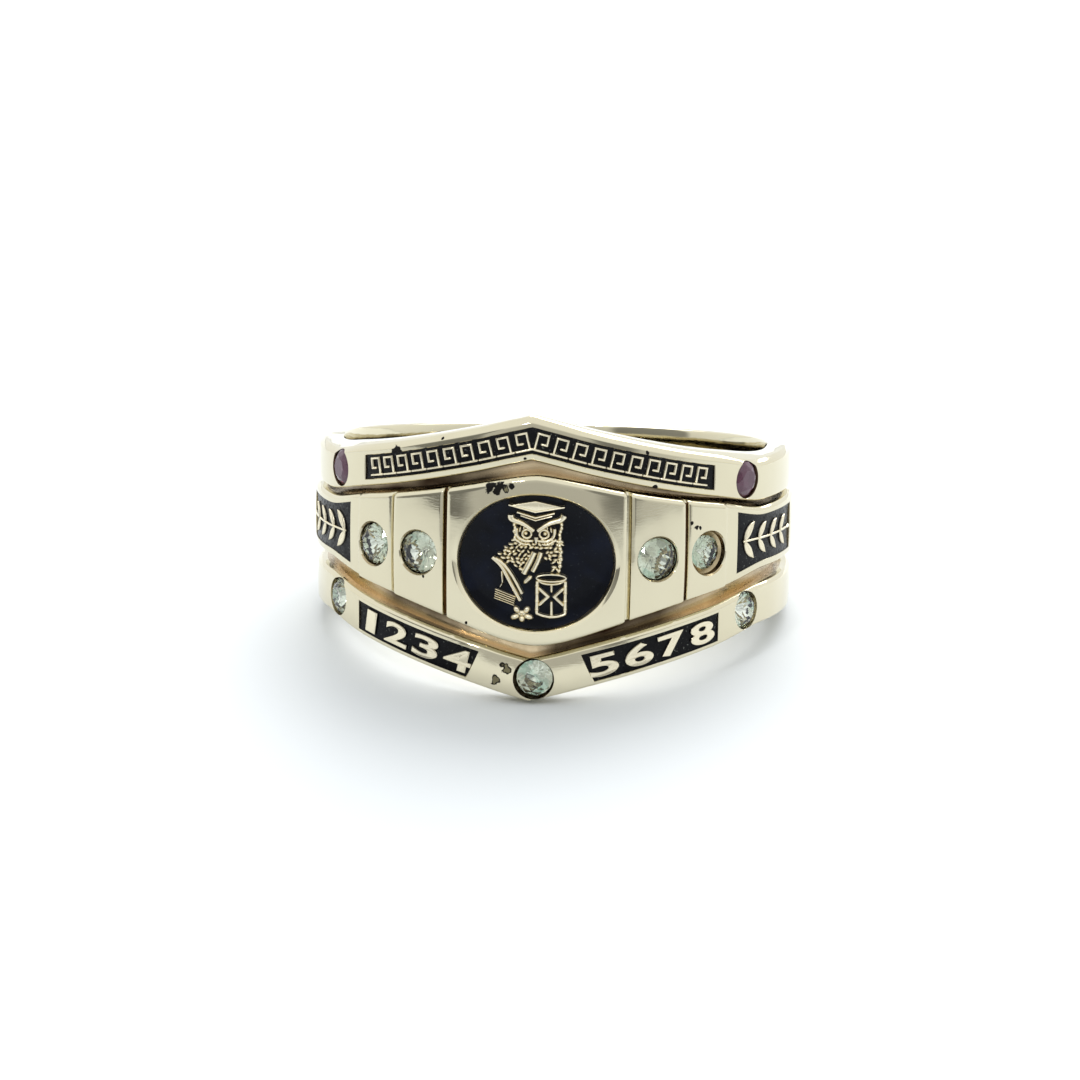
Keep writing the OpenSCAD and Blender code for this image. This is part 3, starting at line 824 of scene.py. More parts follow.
@dataclass
class Casting:
    """The gold casting: sleeve, three bands, five stepped plates, recesses and drilled seats."""

    sizes: RingSizes
    face_rows: int = 6
    crown: float = 0.02
    signet_crown: float = 0.05
    guard: float = 0.02
    comfort: float = 0.14
    plate_round: Flat = (0.15, 0.08)
    margin: float = 0.12
    floor_reach: Flat = (-0.06, 0.3)
    # How far either side of the sleeve the painted groove shade reaches
    soot_reach: Flat = (-0.05, 0.4)

    def __post_init__(self) -> None:
        """Mixes the finishes."""
        self.finishes = [finish.build() for finish in CASTING_FINISHES]

    def stations(self) -> list[Flat]:
        """Angles round the ring, each with the radius of the signet band's face there.

        Returns:
            Angle and radius, closer together where a plate's side is rounded.
        """
        s = self.sizes
        gap = s.gap_angle
        (wide, deep), quarters = self.plate_round, [radians(30 * i) for i in range(4)]
        half: list[Flat] = []
        for start, end, r in (
            (0.0, s.centre_end - gap, s.centre_plate_r),
            (s.centre_end + gap, s.inner_end - gap, s.inner_plate_r),
            (s.inner_end + gap, s.outer_end - gap, s.outer_plate_r),
        ):
            turn_in = degrees(wide / r)
            begin = start
            if start:
                half.append((start - self.margin, s.signet_r))
                for t in quarters:
                    half.append((start + turn_in * (1 - cos(t)), r - deep * (1 - sin(t))))
                begin = half[-1][0] + 0.25
            half.append((begin, r))
            stop = end - turn_in - 0.25
            count = max(2, round(stop - begin))
            half += [(mix(begin, stop, i / count), r) for i in range(1, count + 1)]
            for t in quarters:
                half.append((end - turn_in * (1 - sin(t)), r - deep * (1 - cos(t))))
            half.append((end + self.margin, s.signet_r))
        last = half[-1][0]
        count = round(180 - last)
        half += [(mix(last, 180, i / count), s.signet_r) for i in range(1, count + 1)]
        whole = half + [(-angle, r) for angle, r in reversed(half[1:-1])]
        turned = [(angle + s.signet_turn, r) for angle, r in whole if not -1.6 < angle < -0.6]
        return sorted([*turned, (0.0, s.centre_plate_r)])

    def section(self, angle: float, signet_r: float) -> list[Flat]:
        """The casting's cross-section at an angle, anticlockwise in radius and height.

        Args:
            angle: Degrees round the ring from the front.
            signet_r: Radius of the signet band's face there.

        Returns:
            Radius and height of each point, as many at every angle.
        """
        s, comfort = self.sizes, self.comfort
        points: list[Flat] = []

        def corner(r: float, z: float, wide: float, way: int) -> None:
            """Adds a rounded corner, seen from below or from above."""
            steps = ((0.0, 1.0), (0.07, 0.82), (0.82, 0.07), (1.0, 0.0))
            for deep, high in steps if way < 0 else reversed(steps):
                points.append((r - wide * deep, z + way * wide * high))

        def band(r: float, low: Edge, top: Edge, rounds: Flat, rows: int, crown: float) -> None:
            """Adds a band's face, with both of its corners.

            Args:
                r: Radius of the face's middle.
                low: Its lower edge.
                top: Its upper edge.
                rounds: How far the lower and the upper corner are rounded.
                rows: Points between the corners.
                crown: How far the face falls towards its edges.
            """
            corner(r - crown, low.height(angle, r - crown), rounds[0], 1)
            start, end = low.height(angle, r) + rounds[0], top.height(angle, r) - rounds[1]
            for t in (self.guard, *((i + 0.5) / rows for i in range(rows)), 1 - self.guard):
                points.append((r - crown * (2 * t - 1) ** 2, mix(start, end, t)))
            corner(r - crown, top.height(angle, r - crown), rounds[1], -1)

        def level(edge: Edge, *radii: float) -> None:
            """Adds points along an edge's side."""
            points.extend((r, edge.height(angle, r)) for r in radii)

        def floor(low: Edge, top: Edge, *shares: float) -> None:
            """Adds points along a groove's floor."""
            r = s.sleeve_r
            points.extend((r, mix(low.height(angle, r), top.height(angle, r), t)) for t in shares)

        level(LOWER_LOW, s.bore_r + comfort, mix(s.bore_r, s.lower_r, 0.5))
        band(s.lower_r, LOWER_LOW, LOWER_TOP, (0.05, 0.17), self.face_rows, self.crown)
        level(LOWER_TOP, mix(s.sleeve_r, s.lower_r, 0.4), s.sleeve_r)
        floor(LOWER_TOP, SIGNET_LOW, 0.32)
        level(SIGNET_LOW, s.sleeve_r, mix(s.sleeve_r, signet_r, 0.4))
        rows = 2 * self.face_rows
        band(signet_r, SIGNET_LOW, SIGNET_TOP, (0.07, 0.16), rows, self.signet_crown)
        level(SIGNET_TOP, mix(s.sleeve_r, signet_r, 0.4), s.sleeve_r)
        floor(SIGNET_TOP, UPPER_LOW, 0.3, 0.55, 0.75)
        level(UPPER_LOW, s.sleeve_r, mix(s.sleeve_r, s.upper_r, 0.5))
        band(s.upper_r, UPPER_LOW, UPPER_TOP, (0.07, 0.27), self.face_rows, self.crown)
        level(UPPER_TOP, mix(s.bore_r, s.upper_r, 0.5), s.bore_r + comfort)
        top, low = UPPER_TOP.height(angle, s.bore_r), LOWER_LOW.height(angle, s.bore_r)
        for turn in (radians(45), radians(90)):
            points.append((s.bore_r + comfort * (1 - sin(turn)), top - comfort * (1 - cos(turn))))
        points += [(s.bore_r, mix(top - comfort, low + comfort, i / 8)) for i in range(1, 8)]
        for turn in (0.0, radians(45)):
            points.append((s.bore_r + comfort * (1 - cos(turn)), low + comfort * (1 - sin(turn))))
        return points

    def build(self) -> None:
        """Models the casting and cuts its recesses and seats."""
        stations = self.stations()
        sections = [self.section(angle, r) for angle, r in stations]
        rounds, count = len(stations), len(sections[0])
        add = bpy.ops.mesh.primitive_grid_add
        body = primitive("ring_casting", add, x_subdivisions=rounds, y_subdivisions=count, size=2)

        def place(x: float, y: float, _: float) -> Point:
            """Places a point of the casting.

            Args:
                x: Round the ring, from -1 to 1.
                y: Along the cross-section, from -1 to 1.

            Returns:
                The point about the ring's axis.
            """
            i, j = round((x + 1) / 2 * rounds) % rounds, round((y + 1) / 2 * count) % count
            return around(stations[i][0], *sections[i][j])

        shape(body, place)
        with editing(body):
            bpy.ops.mesh.remove_doubles(threshold=0.00001)
            bpy.ops.mesh.normals_make_consistent(inside=False)
        for material in self.finishes:
            body.data.materials.append(material)
        for polygon in body.data.polygons:
            r = hypot(polygon.center.x, polygon.center.y)
            if self.in_groove(polygon.center, r):
                polygon.material_index = 1
            elif self.between_plates(polygon.center, r):
                polygon.material_index = 3
        cut(body, [*self.panel_tools(), self.oval_tool(), *self.seat_tools()])
        # Painted shade, with some tarnish, for the grooves' floors
        soot = body.data.attributes.new("soot", "FLOAT", "POINT")
        for vertex in body.data.vertices:
            soot.data[vertex.index].value = self.soot(vertex.co)
        finish_piece(body, [], "ring_body")
        modifier = body.modifiers.new("even normals", "WEIGHTED_NORMAL")
        modifier.keep_sharp = True
        take(body)
        bpy.ops.object.modifier_apply(modifier=modifier.name)

    def in_groove(self, centre: Vector, r: float) -> bool:
        """Whether a face is the floor of a groove between two bands, or the foot of its sides.

        Args:
            centre: The face's middle.
            r: Its distance from the axis.

        Returns:
            True for such a face.
        """
        under, over = self.floor_reach
        if not under < r - self.sizes.sleeve_r < over:
            return False
        angle, spare = angle_of(centre), 0.04
        return any(
            low.height(angle, r) - spare < centre.z < top.height(angle, r) + spare
            for low, top in ((LOWER_TOP, SIGNET_LOW), (SIGNET_TOP, UPPER_LOW))
        )

    def soot(self, point: Vector) -> float:
        """How much painted shade, with some tarnish, a groove gets at a point of its floor or foot,
        and 0 elsewhere.

        Args:
            point: The point.

        Returns:
            From 0, clean and unshaded, to 1, darkest.
        """
        r, knot = self.sizes.sleeve_r, 0.4
        under, over = self.soot_reach
        if not under < hypot(point.x, point.y) - r < over:
            return 0.0
        angle = angle_of(point)
        upper = point.z > 0
        signet = (SIGNET_TOP if upper else SIGNET_LOW).height(angle, r)
        outer = (UPPER_LOW if upper else LOWER_TOP).height(angle, r)
        rows = UPPER_GROOVE_SHADE if upper else LOWER_GROOVE_SHADE
        near, away = next(pair for pair in zip(rows, rows[1:]) if angle <= pair[1][0])
        t = (angle - near[0]) / (away[0] - near[0])
        beside, middle, inner = (mix(a, b, t) for a, b in zip(near[1:], away[1:]))
        share = min(max((point.z - outer) / (signet - outer), 0), 1)
        if share < knot:
            return mix(beside, middle, share / knot)
        return mix(middle, inner, (share - knot) / (1 - knot))

    def between_plates(self, centre: Vector, r: float) -> bool:
        """Whether a face is the floor of a groove between two plates, which is given a darker,
        duller gold.

        Args:
            centre: The face's middle.
            r: Its distance from the axis.

        Returns:
            True for such a face.
        """
        s, half, under, over = self.sizes, 0.56, 0.08, 0.03
        angle = angle_of(centre) - s.signet_turn
        at_end = abs(angle + s.centre_end) < half or abs(angle - s.inner_end) < half
        return at_end and s.signet_r - under < r < s.signet_r + over

    def dressed(self, tool: Object, place: Placing, rim_r: float) -> Object:
        """Shapes a cutter: the recess's finish below a radius and the polished one above it.

        Args:
            tool: The cutter, laid out flat.
            place: Gives the place of a point of the layout.
            rim_r: The radius.

        Returns:
            The cutter.
        """
        solid(tool, place)
        tool.data.materials.append(self.finishes[2])
        tool.data.materials.append(self.finishes[0])
        for polygon in tool.data.polygons:
            if hypot(polygon.center.x, polygon.center.y) > rim_r:
                polygon.material_index = 1
        return tool

    def panel_tools(self) -> list[Object]:
        """Cutters for the five panels, flared at the surface so that each rim is rounded.

        Returns:
            The cutters.
        """
        tools = []
        deep = -SIZES.panel_sink - SIZES.enamel_t
        # For each level, the height above the face and how much larger the outline is
        levels = ((deep, 0.0), (-0.035, 0.0), (0.0, 0.03), (0.3, 0.28))
        for panel in PANELS:

            def place(x: float, y: float, z: float, panel: Panel = panel) -> Point:
                """Places a point of a panel's cutter."""
                return panel.point(x, y, *levels[round(z)])

            tool = slab(f"{panel.name}_cutter", panel.columns, 6, len(levels))
            tools.append(self.dressed(tool, place, panel.r - 0.04))
        return tools

    def oval_tool(self) -> Object:
        """Cutter for the signet's oval, with a rounded bevel at its mouth.

        Returns:
            The cutter.
        """
        s = self.sizes
        deep = s.oval_face_r - s.centre_plate_r - s.enamel_t
        levels = (
            (deep, 0.0), (-0.3, 0.0), (-0.22, 0.015), (-0.1, 0.075), (0.0, 0.2), (0.3, 0.575)
        )

        def place(x: float, y: float, z: float) -> Point:
            """Places a point of the oval's cutter.

            Args:
                x: Across the layout, from -1 to 1.
                y: Up the layout, from -1 to 1.
                z: The level.

            Returns:
                The point about the ring's axis.
            """
            down, grow = levels[round(z)]
            u, v = x * (s.oval_w / 2 + grow), y * (s.oval_h / 2 + grow) - s.oval_drop
            return around(s.signet_turn + degrees(u / s.centre_plate_r), s.centre_plate_r + down, v)

        tool = disc("oval_cutter", 128, len(levels), (0.16,) * 5)
        return self.dressed(tool, place, s.centre_plate_r - 0.19)

    def seat_tools(self) -> list[Object]:
        """Burs for the nine seats: a cone under the stone, a straight wall and a countersunk rim.

        Returns:
            The cutters.
        """
        tools = []
        for stone in STONES:
            rim = 0.03 if stone.name.startswith(("upper", "lower")) else 0.09
            bottom = -SIZES.stone_sink - SIZES.stone_depth * stone.d - SIZES.seat_gap
            levels = (
                (bottom, -0.45 * stone.seat), (-SIZES.stone_sink - 0.1 * stone.d, 0.0),
                (-rim, 0.0), (0.0, 0.8 * rim), (0.3, 0.8 * rim + 0.25),
            )

            def place(x: float, y: float, z: float) -> Point:
                """Places a point of a seat's cutter.

                Args:
                    x: Across the layout, from -1 to 1.
                    y: Up the layout, from -1 to 1.
                    z: The level.

                Returns:
                    The point about the ring's axis.
                """
                down, grow = levels[round(z)]
                r = stone.seat / 2 + SIZES.seat_gap + grow
                return stone.point(x * r, y * r, down)

            tool = disc(f"{stone.name}_drill", 48, len(levels))
            tools.append(self.dressed(tool, place, stone.r - 0.02))
        return tools


# Panels


@dataclass(frozen=True)
class Panel:
    """A recessed panel on a band, between two edges."""

    name: str
    node: str
    r: float
    low: Edge
    top: Edge
    margins: Flat
    near: float
    away: float
    lean: float = 0.0
    side: int = 1
    turn: float = 0.0
    columns: int = 48

    def point(self, x: float, y: float, depth: float, grow: float = 0.0) -> Point:
        """A point of the panel.

        Args:
            x: From -1, at the near end, to 1.
            y: From -1, at the bottom, to 1.
            depth: Height above the band's face.
            grow: How much larger the outline is on every side.

        Returns:
            The point, in millimetres about the ring's axis.
        """
        stretch = degrees(grow / self.r)
        near = self.near + self.lean * (1 - y) / 2 - stretch
        angle = self.turn + self.side * mix(near, self.away + stretch, (x + 1) / 2)
        low = self.low.height(angle, self.r) + self.margins[0] - grow
        top = self.top.height(angle, self.r) - self.margins[1] + grow
        return around(angle, self.r + depth, mix(low, top, (y + 1) / 2))

    def middle(self, angle: float) -> float:
        """Height of the panel's middle at an angle."""
        low = self.low.height(angle, self.r) + self.margins[0]
        return (low + self.top.height(angle, self.r) - self.margins[1]) / 2


SIDES = (("left", -1), ("right", 1))
UPPER_END = angle_at(SIZES.upper_panel_x, SIZES.upper_r)
LOWER_NEAR = angle_at(SIZES.lower_panel_in, SIZES.lower_r)
# The lower panels' near ends lean over the panel's height, 1.26 mm
LEAN_X = SIZES.lower_panel_in + 1.26 * SIZES.lower_panel_lean
LOWER_LEAN = angle_at(LEAN_X, SIZES.lower_r) - LOWER_NEAR
UPPER_PANEL = Panel(
    "upper_inlay", "upper_enamel", SIZES.upper_r, UPPER_LOW, UPPER_TOP, SIZES.upper_margins,
    -UPPER_END, UPPER_END, columns=96,
)
LOWER_PANELS = tuple(
    Panel(
        f"lower_inlay_{word}", f"lower_enamel_{word}", SIZES.lower_r, LOWER_LOW, LOWER_TOP,
        SIZES.lower_margins, LOWER_NEAR, angle_at(SIZES.lower_panel_out, SIZES.lower_r),
        LOWER_LEAN, side,
    )
    for word, side in SIDES
)
SIDE_PANELS = tuple(
    Panel(
        f"side_inlay_{word}", f"side_enamel_{word}", SIZES.signet_r, SIGNET_LOW, SIGNET_TOP,
        (SIZES.side_margin, SIZES.side_margin), SIZES.side_near, SIZES.side_far, 0.0, side,
        SIZES.signet_turn,
    )
    for word, side in SIDES
)
PANELS = (UPPER_PANEL, *LOWER_PANELS, *SIDE_PANELS)


@dataclass
class Inlays:
    """The enamel in the panels and in the oval, drawn up a little where it meets the gold."""

    fit: float = 0.01
    creep: float = 0.035
    reach: float = 0.12
    oval_creep: float = 0.07
    oval_reach: float = 0.16
    half_panel: float = 0.5
    half_oval: float = 3.0
    hidden: float = 0.02

    def build(self) -> None:
        """Makes every inlay."""
        black = Enamel("black_enamel", "#08080a", "#101114", 0.25).build()
        blue = Enamel("blue_black_enamel", "#05070e", "#0c1222", 0.08, 0.03, "#1e2227").build()
        for panel in PANELS:
            self.panel_inlay(panel, black)
        self.oval_inlay(blue)

    def panel_inlay(self, panel: Panel, enamel: Material) -> None:
        """Enamel of one panel, with rows gathered towards its edges.

        Args:
            panel: The panel.
            enamel: Its finish.
        """

        def place(x: float, y: float, z: float) -> Point:
            """Places a point of a panel's enamel.

            Args:
                x: Across the layout, from -1 to 1.
                y: Up the layout, from -1 to 1.
                z: The level.

            Returns:
                The point about the ring's axis.
            """
            gathered = sin(y * pi / 2)
            rise = self.creep * exp(-(1 - abs(gathered)) * self.half_panel / self.reach)
            depth = rise if z > 0.5 else self.hidden - SIZES.enamel_t
            return panel.point(x, gathered, depth - SIZES.panel_sink, -self.fit)

        piece = solid(slab(panel.name, panel.columns, 12, 2), place)
        finish_piece(piece, [enamel], panel.node, 40)

    def oval_inlay(self, enamel: Material) -> None:
        """Enamel of the oval: rings drawn outwards from the middle, rising at the gold.

        Args:
            enamel: Its finish.
        """
        s = SIZES

        def place(x: float, y: float, z: float) -> Point:
            """Places a point of the oval's enamel.

            Args:
                x: Across the layout, from -1 to 1.
                y: Up the layout, from -1 to 1.
                z: The level.

            Returns:
                The point about the ring's axis.
            """
            inside = (1 - min(hypot(x, y), 1.0)) * self.half_oval
            rise = self.oval_creep * exp(-inside / self.oval_reach)
            down = rise if z > 0.5 else self.hidden - s.enamel_t
            u, v = x * (s.oval_w / 2 - self.fit), y * (s.oval_h / 2 - self.fit) - s.oval_drop
            return around(s.signet_turn + degrees(u / s.oval_face_r), s.oval_face_r + down, v)

        rings = (0.015, 0.03, 0.05, 0.09, 0.16, 0.2, 0.2)
        piece = solid(disc("oval_inlay", 128, 2, rings), place)
        finish_piece(piece, [enamel], "oval_enamel", 40)


# Stones


@dataclass(frozen=True)
class Stone:
    """A round stone in a drilled seat.

    Share is its width against the drawing's, slip its place in the seat, and tight the seat's
    width against the drawing's, where the photograph shows them so.
    """

    name: str
    d: float
    r: float
    angle: float
    z: float
    share: float = 1.0
    slip: Flat = (0.0, 0.0)
    tight: float = 1.0

    @property
    def seat(self) -> float:
        """Width of the drilled seat."""
        return self.d * self.tight

    def point(self, x: float, y: float, height: float) -> Point:
        """A point beside the stone's axis, at a height above the gold's face."""
        turn, out = radians(self.angle), self.r + height
        return out * sin(turn) + x * cos(turn), -out * cos(turn) + x * sin(turn), self.z + y


def stone_list() -> tuple[Stone, ...]:
    """The nine stones, each in the middle of its band's height.

    Returns:
        The stones, left before right.
    """
    s = SIZES
    still = (0.0, 0.0)
    # The right outer stone is smaller than its seat and sits to the left in it
    outer_fit = {-1: (0.93, still), 1: (0.78, (-0.14, 0.05))}

    def half_way(low: Edge, top: Edge, angle: float, r: float) -> float:
        """Height half way between two edges."""
        return (top.height(angle, r) + low.height(angle, r)) / 2

    upper, lower, front = s.upper_stone_angle, s.lower_stone_angle, s.front_stone_angle
    upper_z = half_way(UPPER_LOW, UPPER_TOP, upper, s.upper_r)
    lower_z = half_way(LOWER_LOW, LOWER_TOP, lower, s.lower_r)
    front_z = half_way(LOWER_LOW, LOWER_TOP, front, s.lower_r)
    stones = []
    for word, side in SIDES:
        outer = s.signet_turn + side * s.outer_stone_angle
        inner = s.signet_turn + side * s.inner_stone_angle
        wide = s.shoulder_stone_d
        stones += [
            Stone(f"upper_stone_{word}", s.upper_stone_d, s.upper_r, side * upper, upper_z),
            Stone(f"outer_stone_{word}", wide, s.outer_plate_r, outer, 0, *outer_fit[side], 0.95),
            Stone(f"inner_stone_{word}", wide, s.inner_plate_r, inner, 0, 0.94, still, 0.95),
            Stone(
                f"lower_stone_{word}", s.lower_stone_d, s.lower_r, side * lower, lower_z,
                0.94, still, 0.95,
            ),
        ]
    slip = (0.04, 0.04)
    first = Stone("lower_stone_front", s.lower_stone_d, s.lower_r, front, front_z, 0.91, slip)
    return (*stones, first)


STONES = stone_list()


@dataclass
class StoneSet:
    """The brilliants: each is the hull of its facets' rings, silvered below its girdle."""

    crown: float = 0.15
    girdle: float = 0.03
    pavilion: float = 0.38
    turn: float = 7.0

    def build(self) -> None:
        """Cuts and sets every stone."""
        clear = CutStone("clear_crystal", "#fbfcf8").build()
        foil = StoneFoil("silvered_back", "#f8f9f2", 0.35).build()
        purple = CutStone("purple_crystal", "#6d3f56", 0.12, 0.5).build()
        mauve = StoneFoil("mauve_back", "#573548").build()
        kinds = {"clear": [clear, foil], "purple": [purple, mauve]}
        for number, stone in enumerate(STONES):
            kind = "purple" if stone.name.startswith("upper") else "clear"
            piece = self.brilliant(stone, self.turn * number)
            finish_piece(piece, kinds[kind], stone.name, None)

    def brilliant(self, stone: Stone, turn: float) -> Object:
        """Cuts one stone.

        Args:
            stone: The stone's size and place.
            turn: Degrees by which its facets are turned in the seat.

        Returns:
            The stone, its faces below the girdle with the second material.
        """
        d = stone.d * stone.share
        r, add = d / 2, bpy.ops.mesh.primitive_circle_add
        parts = []
        for sides, radius, height, offset in (
            (8, 0.56 * r, self.crown * d, turn),
            (8, 0.8 * r, 0.6 * self.crown * d, turn + 22.5),
            (16, r, 0.0, turn),
            (16, r, -self.girdle * d, turn),
            (8, 0.94 * r, -(self.girdle + 0.07 * self.pavilion) * d, turn),
            (8, 0.03 * r, -(self.girdle + self.pavilion) * d, 0.0),
        ):
            ring = primitive("ring", add, vertices=sides, radius=radius)
            ring.data.transform(Matrix.Rotation(radians(offset), 4, "Z"))
            ring.data.transform(Matrix.Translation((0, 0, height)))
            parts.append(ring)
        piece = joined(parts, f"cut_{stone.name}")
        with editing(piece):
            bpy.ops.mesh.convex_hull()
            bpy.ops.mesh.select_all(action="SELECT")
            bpy.ops.mesh.normals_make_consistent(inside=False)
        for polygon in piece.data.polygons:
            if polygon.center.z < -0.6 * self.girdle * d:
                polygon.material_index = 1
        aside, up = stone.slip
        return shape(piece, lambda x, y, z: stone.point(x + aside, y + up, z - SIZES.stone_sink))


# Raised ornament


def eased(points: Sequence[Flat], steps: int = 5) -> list[Flat]:
    """A smooth line through points.

    Args:
        points: The points.
        steps: Pieces between two of them.

    Returns:
        The line.
    """
    path: list[Flat] = []
    last = len(points) - 1
    for i in range(last):
        four = (points[max(i - 1, 0)], points[i], points[i + 1], points[min(i + 2, last)])
        for k in range(steps):
            t = k / steps
            path.append(tuple(
                q + t * (c - a + t * (2 * a - 5 * q + 4 * c - d + t * (3 * q - a - 3 * c + d))) / 2
                for a, q, c, d in zip(*four)
            ))
    return [*path, points[-1]]


def circle(u: float, v: float, ru: float, rv: float, sides: int = 20) -> list[Flat]:
    """A closed round path, which ends a little past its start."""
    turns = [tau * i / sides for i in range(sides + 2)]
    return [(u + ru * cos(turn), v + rv * sin(turn)) for turn in turns]


@dataclass
class Figure:
    """A raised figure drawn flat in millimetres: u to the right, v upwards, height in Z.

    Each part keeps in the attribute relief how far the buffing wheel reaches it, from 0 to 1.
    """

    name: str
    full: float = 0.26
    root: float = -0.04

    def __post_init__(self) -> None:
        """Starts without parts."""
        self.parts: list[Object] = []

    def keep(self, part: Object, shine: float = 1.0) -> Object:
        """Adds a part, with its relief taken from its height.

        Args:
            part: The part, flat.
            shine: How far its top is rubbed bright, from 0 to 1.

        Returns:
            The same part.
        """
        relief = part.data.attributes.new("relief", "FLOAT", "POINT")
        for vertex in part.data.vertices:
            relief.data[vertex.index].value = shine * max(vertex.co.z, 0) / self.full
        self.parts.append(part)
        return part

    def stroke(
        self, points: Sequence[Flat], width: float, height: float = 0.24, thin: float = 1.0,
        smooth: bool = True,
    ) -> None:
        """Adds a rounded ridge along a line.

        Args:
            points: The line.
            width: Its width at the start.
            height: Its height above the enamel.
            thin: Its width at the end, as a share of the width at the start.
            smooth: Whether the line bends smoothly through its points.
        """
        path = eased(points) if smooth and len(points) > 2 else list(points)
        first, second, before, last = (Vector(path[i]) for i in (0, 1, -2, -1))
        nose = min(0.3 * width, 0.4 * (second - first).length, 0.4 * (last - before).length)
        path.insert(1, tuple(first + (second - first).normalized() * nose))
        path.insert(-1, tuple(last + (before - last).normalized() * nose))
        end = len(path) - 1

        def place(x: float, y: float, z: float) -> Point:
            """Places a point of the ridge.

            Args:
                x: Along it, from -1 to 1.
                y: Across it, from -1 to 1.
                z: The level.

            Returns:
                The point, flat.
            """
            i = round((x + 1) / 2 * end)
            here = Vector(path[i])
            ahead = (Vector(path[min(i + 1, end)]) - here).normalized()
            behind = (here - Vector(path[max(i - 1, 0)])).normalized()
            along = (ahead + behind).normalized()
            across = Vector((-along.y, along.x))
            spread = 1 / max(across.dot(Vector((-ahead.y, ahead.x))) if 0 < i < end else 1, 0.6)
            tip = 0.5 if i in (0, end) else 1.0
            point = here + across * (width / 2 * mix(1, thin, i / end) * tip * spread) * y
            top = height * (1 - abs(y) ** 2.4) ** 0.5 * mix(tip, 1, 0.4)
            return point.x, point.y, top if z > 0.5 else self.root

        self.keep(solid(slab(f"{self.name}_stroke", end, 6, 2), place))

    def plate(
        self, outline: Sequence[Flat], height: float = 0.26, bevel: float = 0.04, shine: float = 1.0
    ) -> None:
        """Adds a flat plate with rounded edges.

        Args:
            outline: Its corners.
            height: Its height above the enamel.
            bevel: How far its edge is rounded.
            shine: How far its top is rubbed bright, from 0 to 1.
        """
        add = bpy.ops.mesh.primitive_circle_add
        name = f"{self.name}_plate"
        piece = primitive(name, add, vertices=len(outline), radius=1, fill_type="NGON")
        for vertex, (u, v) in zip(piece.data.vertices, outline):
            vertex.co = (u, v, self.root)
        with editing(piece):
            rise = (0, 0, height - self.root)
            bpy.ops.mesh.extrude_region_move(TRANSFORM_OT_translate={"value": rise})
            bpy.ops.mesh.region_to_loop()
            bpy.ops.mesh.bevel(offset=bevel, segments=3, affect="EDGES")
            bpy.ops.mesh.select_all(action="SELECT")
            bpy.ops.mesh.normals_make_consistent(inside=False)
        self.keep(piece, shine)

    def pebble(
        self, u: float, v: float, ru: float, rv: float, height: float = 0.2,
        turn: float = 0.0, shine: float = 1.0,
    ) -> None:
        """Adds a rounded lump.

        Args:
            u: Its middle to the right.
            v: Its middle upwards.
            ru: Half its length.
            rv: Half its width.
            height: Its height above the enamel.
            turn: Degrees that it is turned.
            shine: How far its top is rubbed bright, from 0 to 1.
        """
        template = bpy.data.meshes.get("lump")
        if template is None:
            add = bpy.ops.mesh.primitive_ico_sphere_add
            lump = primitive("lump", add, subdivisions=3, radius=1)
            template = lump.data
            template.name = "lump"
            template.use_fake_user = True
            bpy.data.objects.remove(lump)
        piece = copied(template, f"{self.name}_lump")
        turned = Matrix.Rotation(radians(turn), 4, "Z") @ Matrix.Diagonal((ru, rv, height, 1))
        piece.data.transform(Matrix.Translation((u, v, 0)) @ turned)
        for vertex in piece.data.vertices:
            vertex.co.z = max(vertex.co.z, self.root)
        self.keep(piece, shine)


def on_oval(u: float, v: float, h: float) -> Point:
    """Places a point of the signet's figures, which stand a little right of the oval's middle.

    Args:
        u: To the right.
        v: Upwards.
        h: Above the enamel.

    Returns:
        The point about the ring's axis.
    """
    aside, share, drop = 0.08, 0.96, SIZES.oval_drop + 0.02
    angle = SIZES.signet_turn + degrees((aside + share * u) / SIZES.oval_face_r)
    return around(angle, SIZES.oval_face_r + h, share * v - drop)


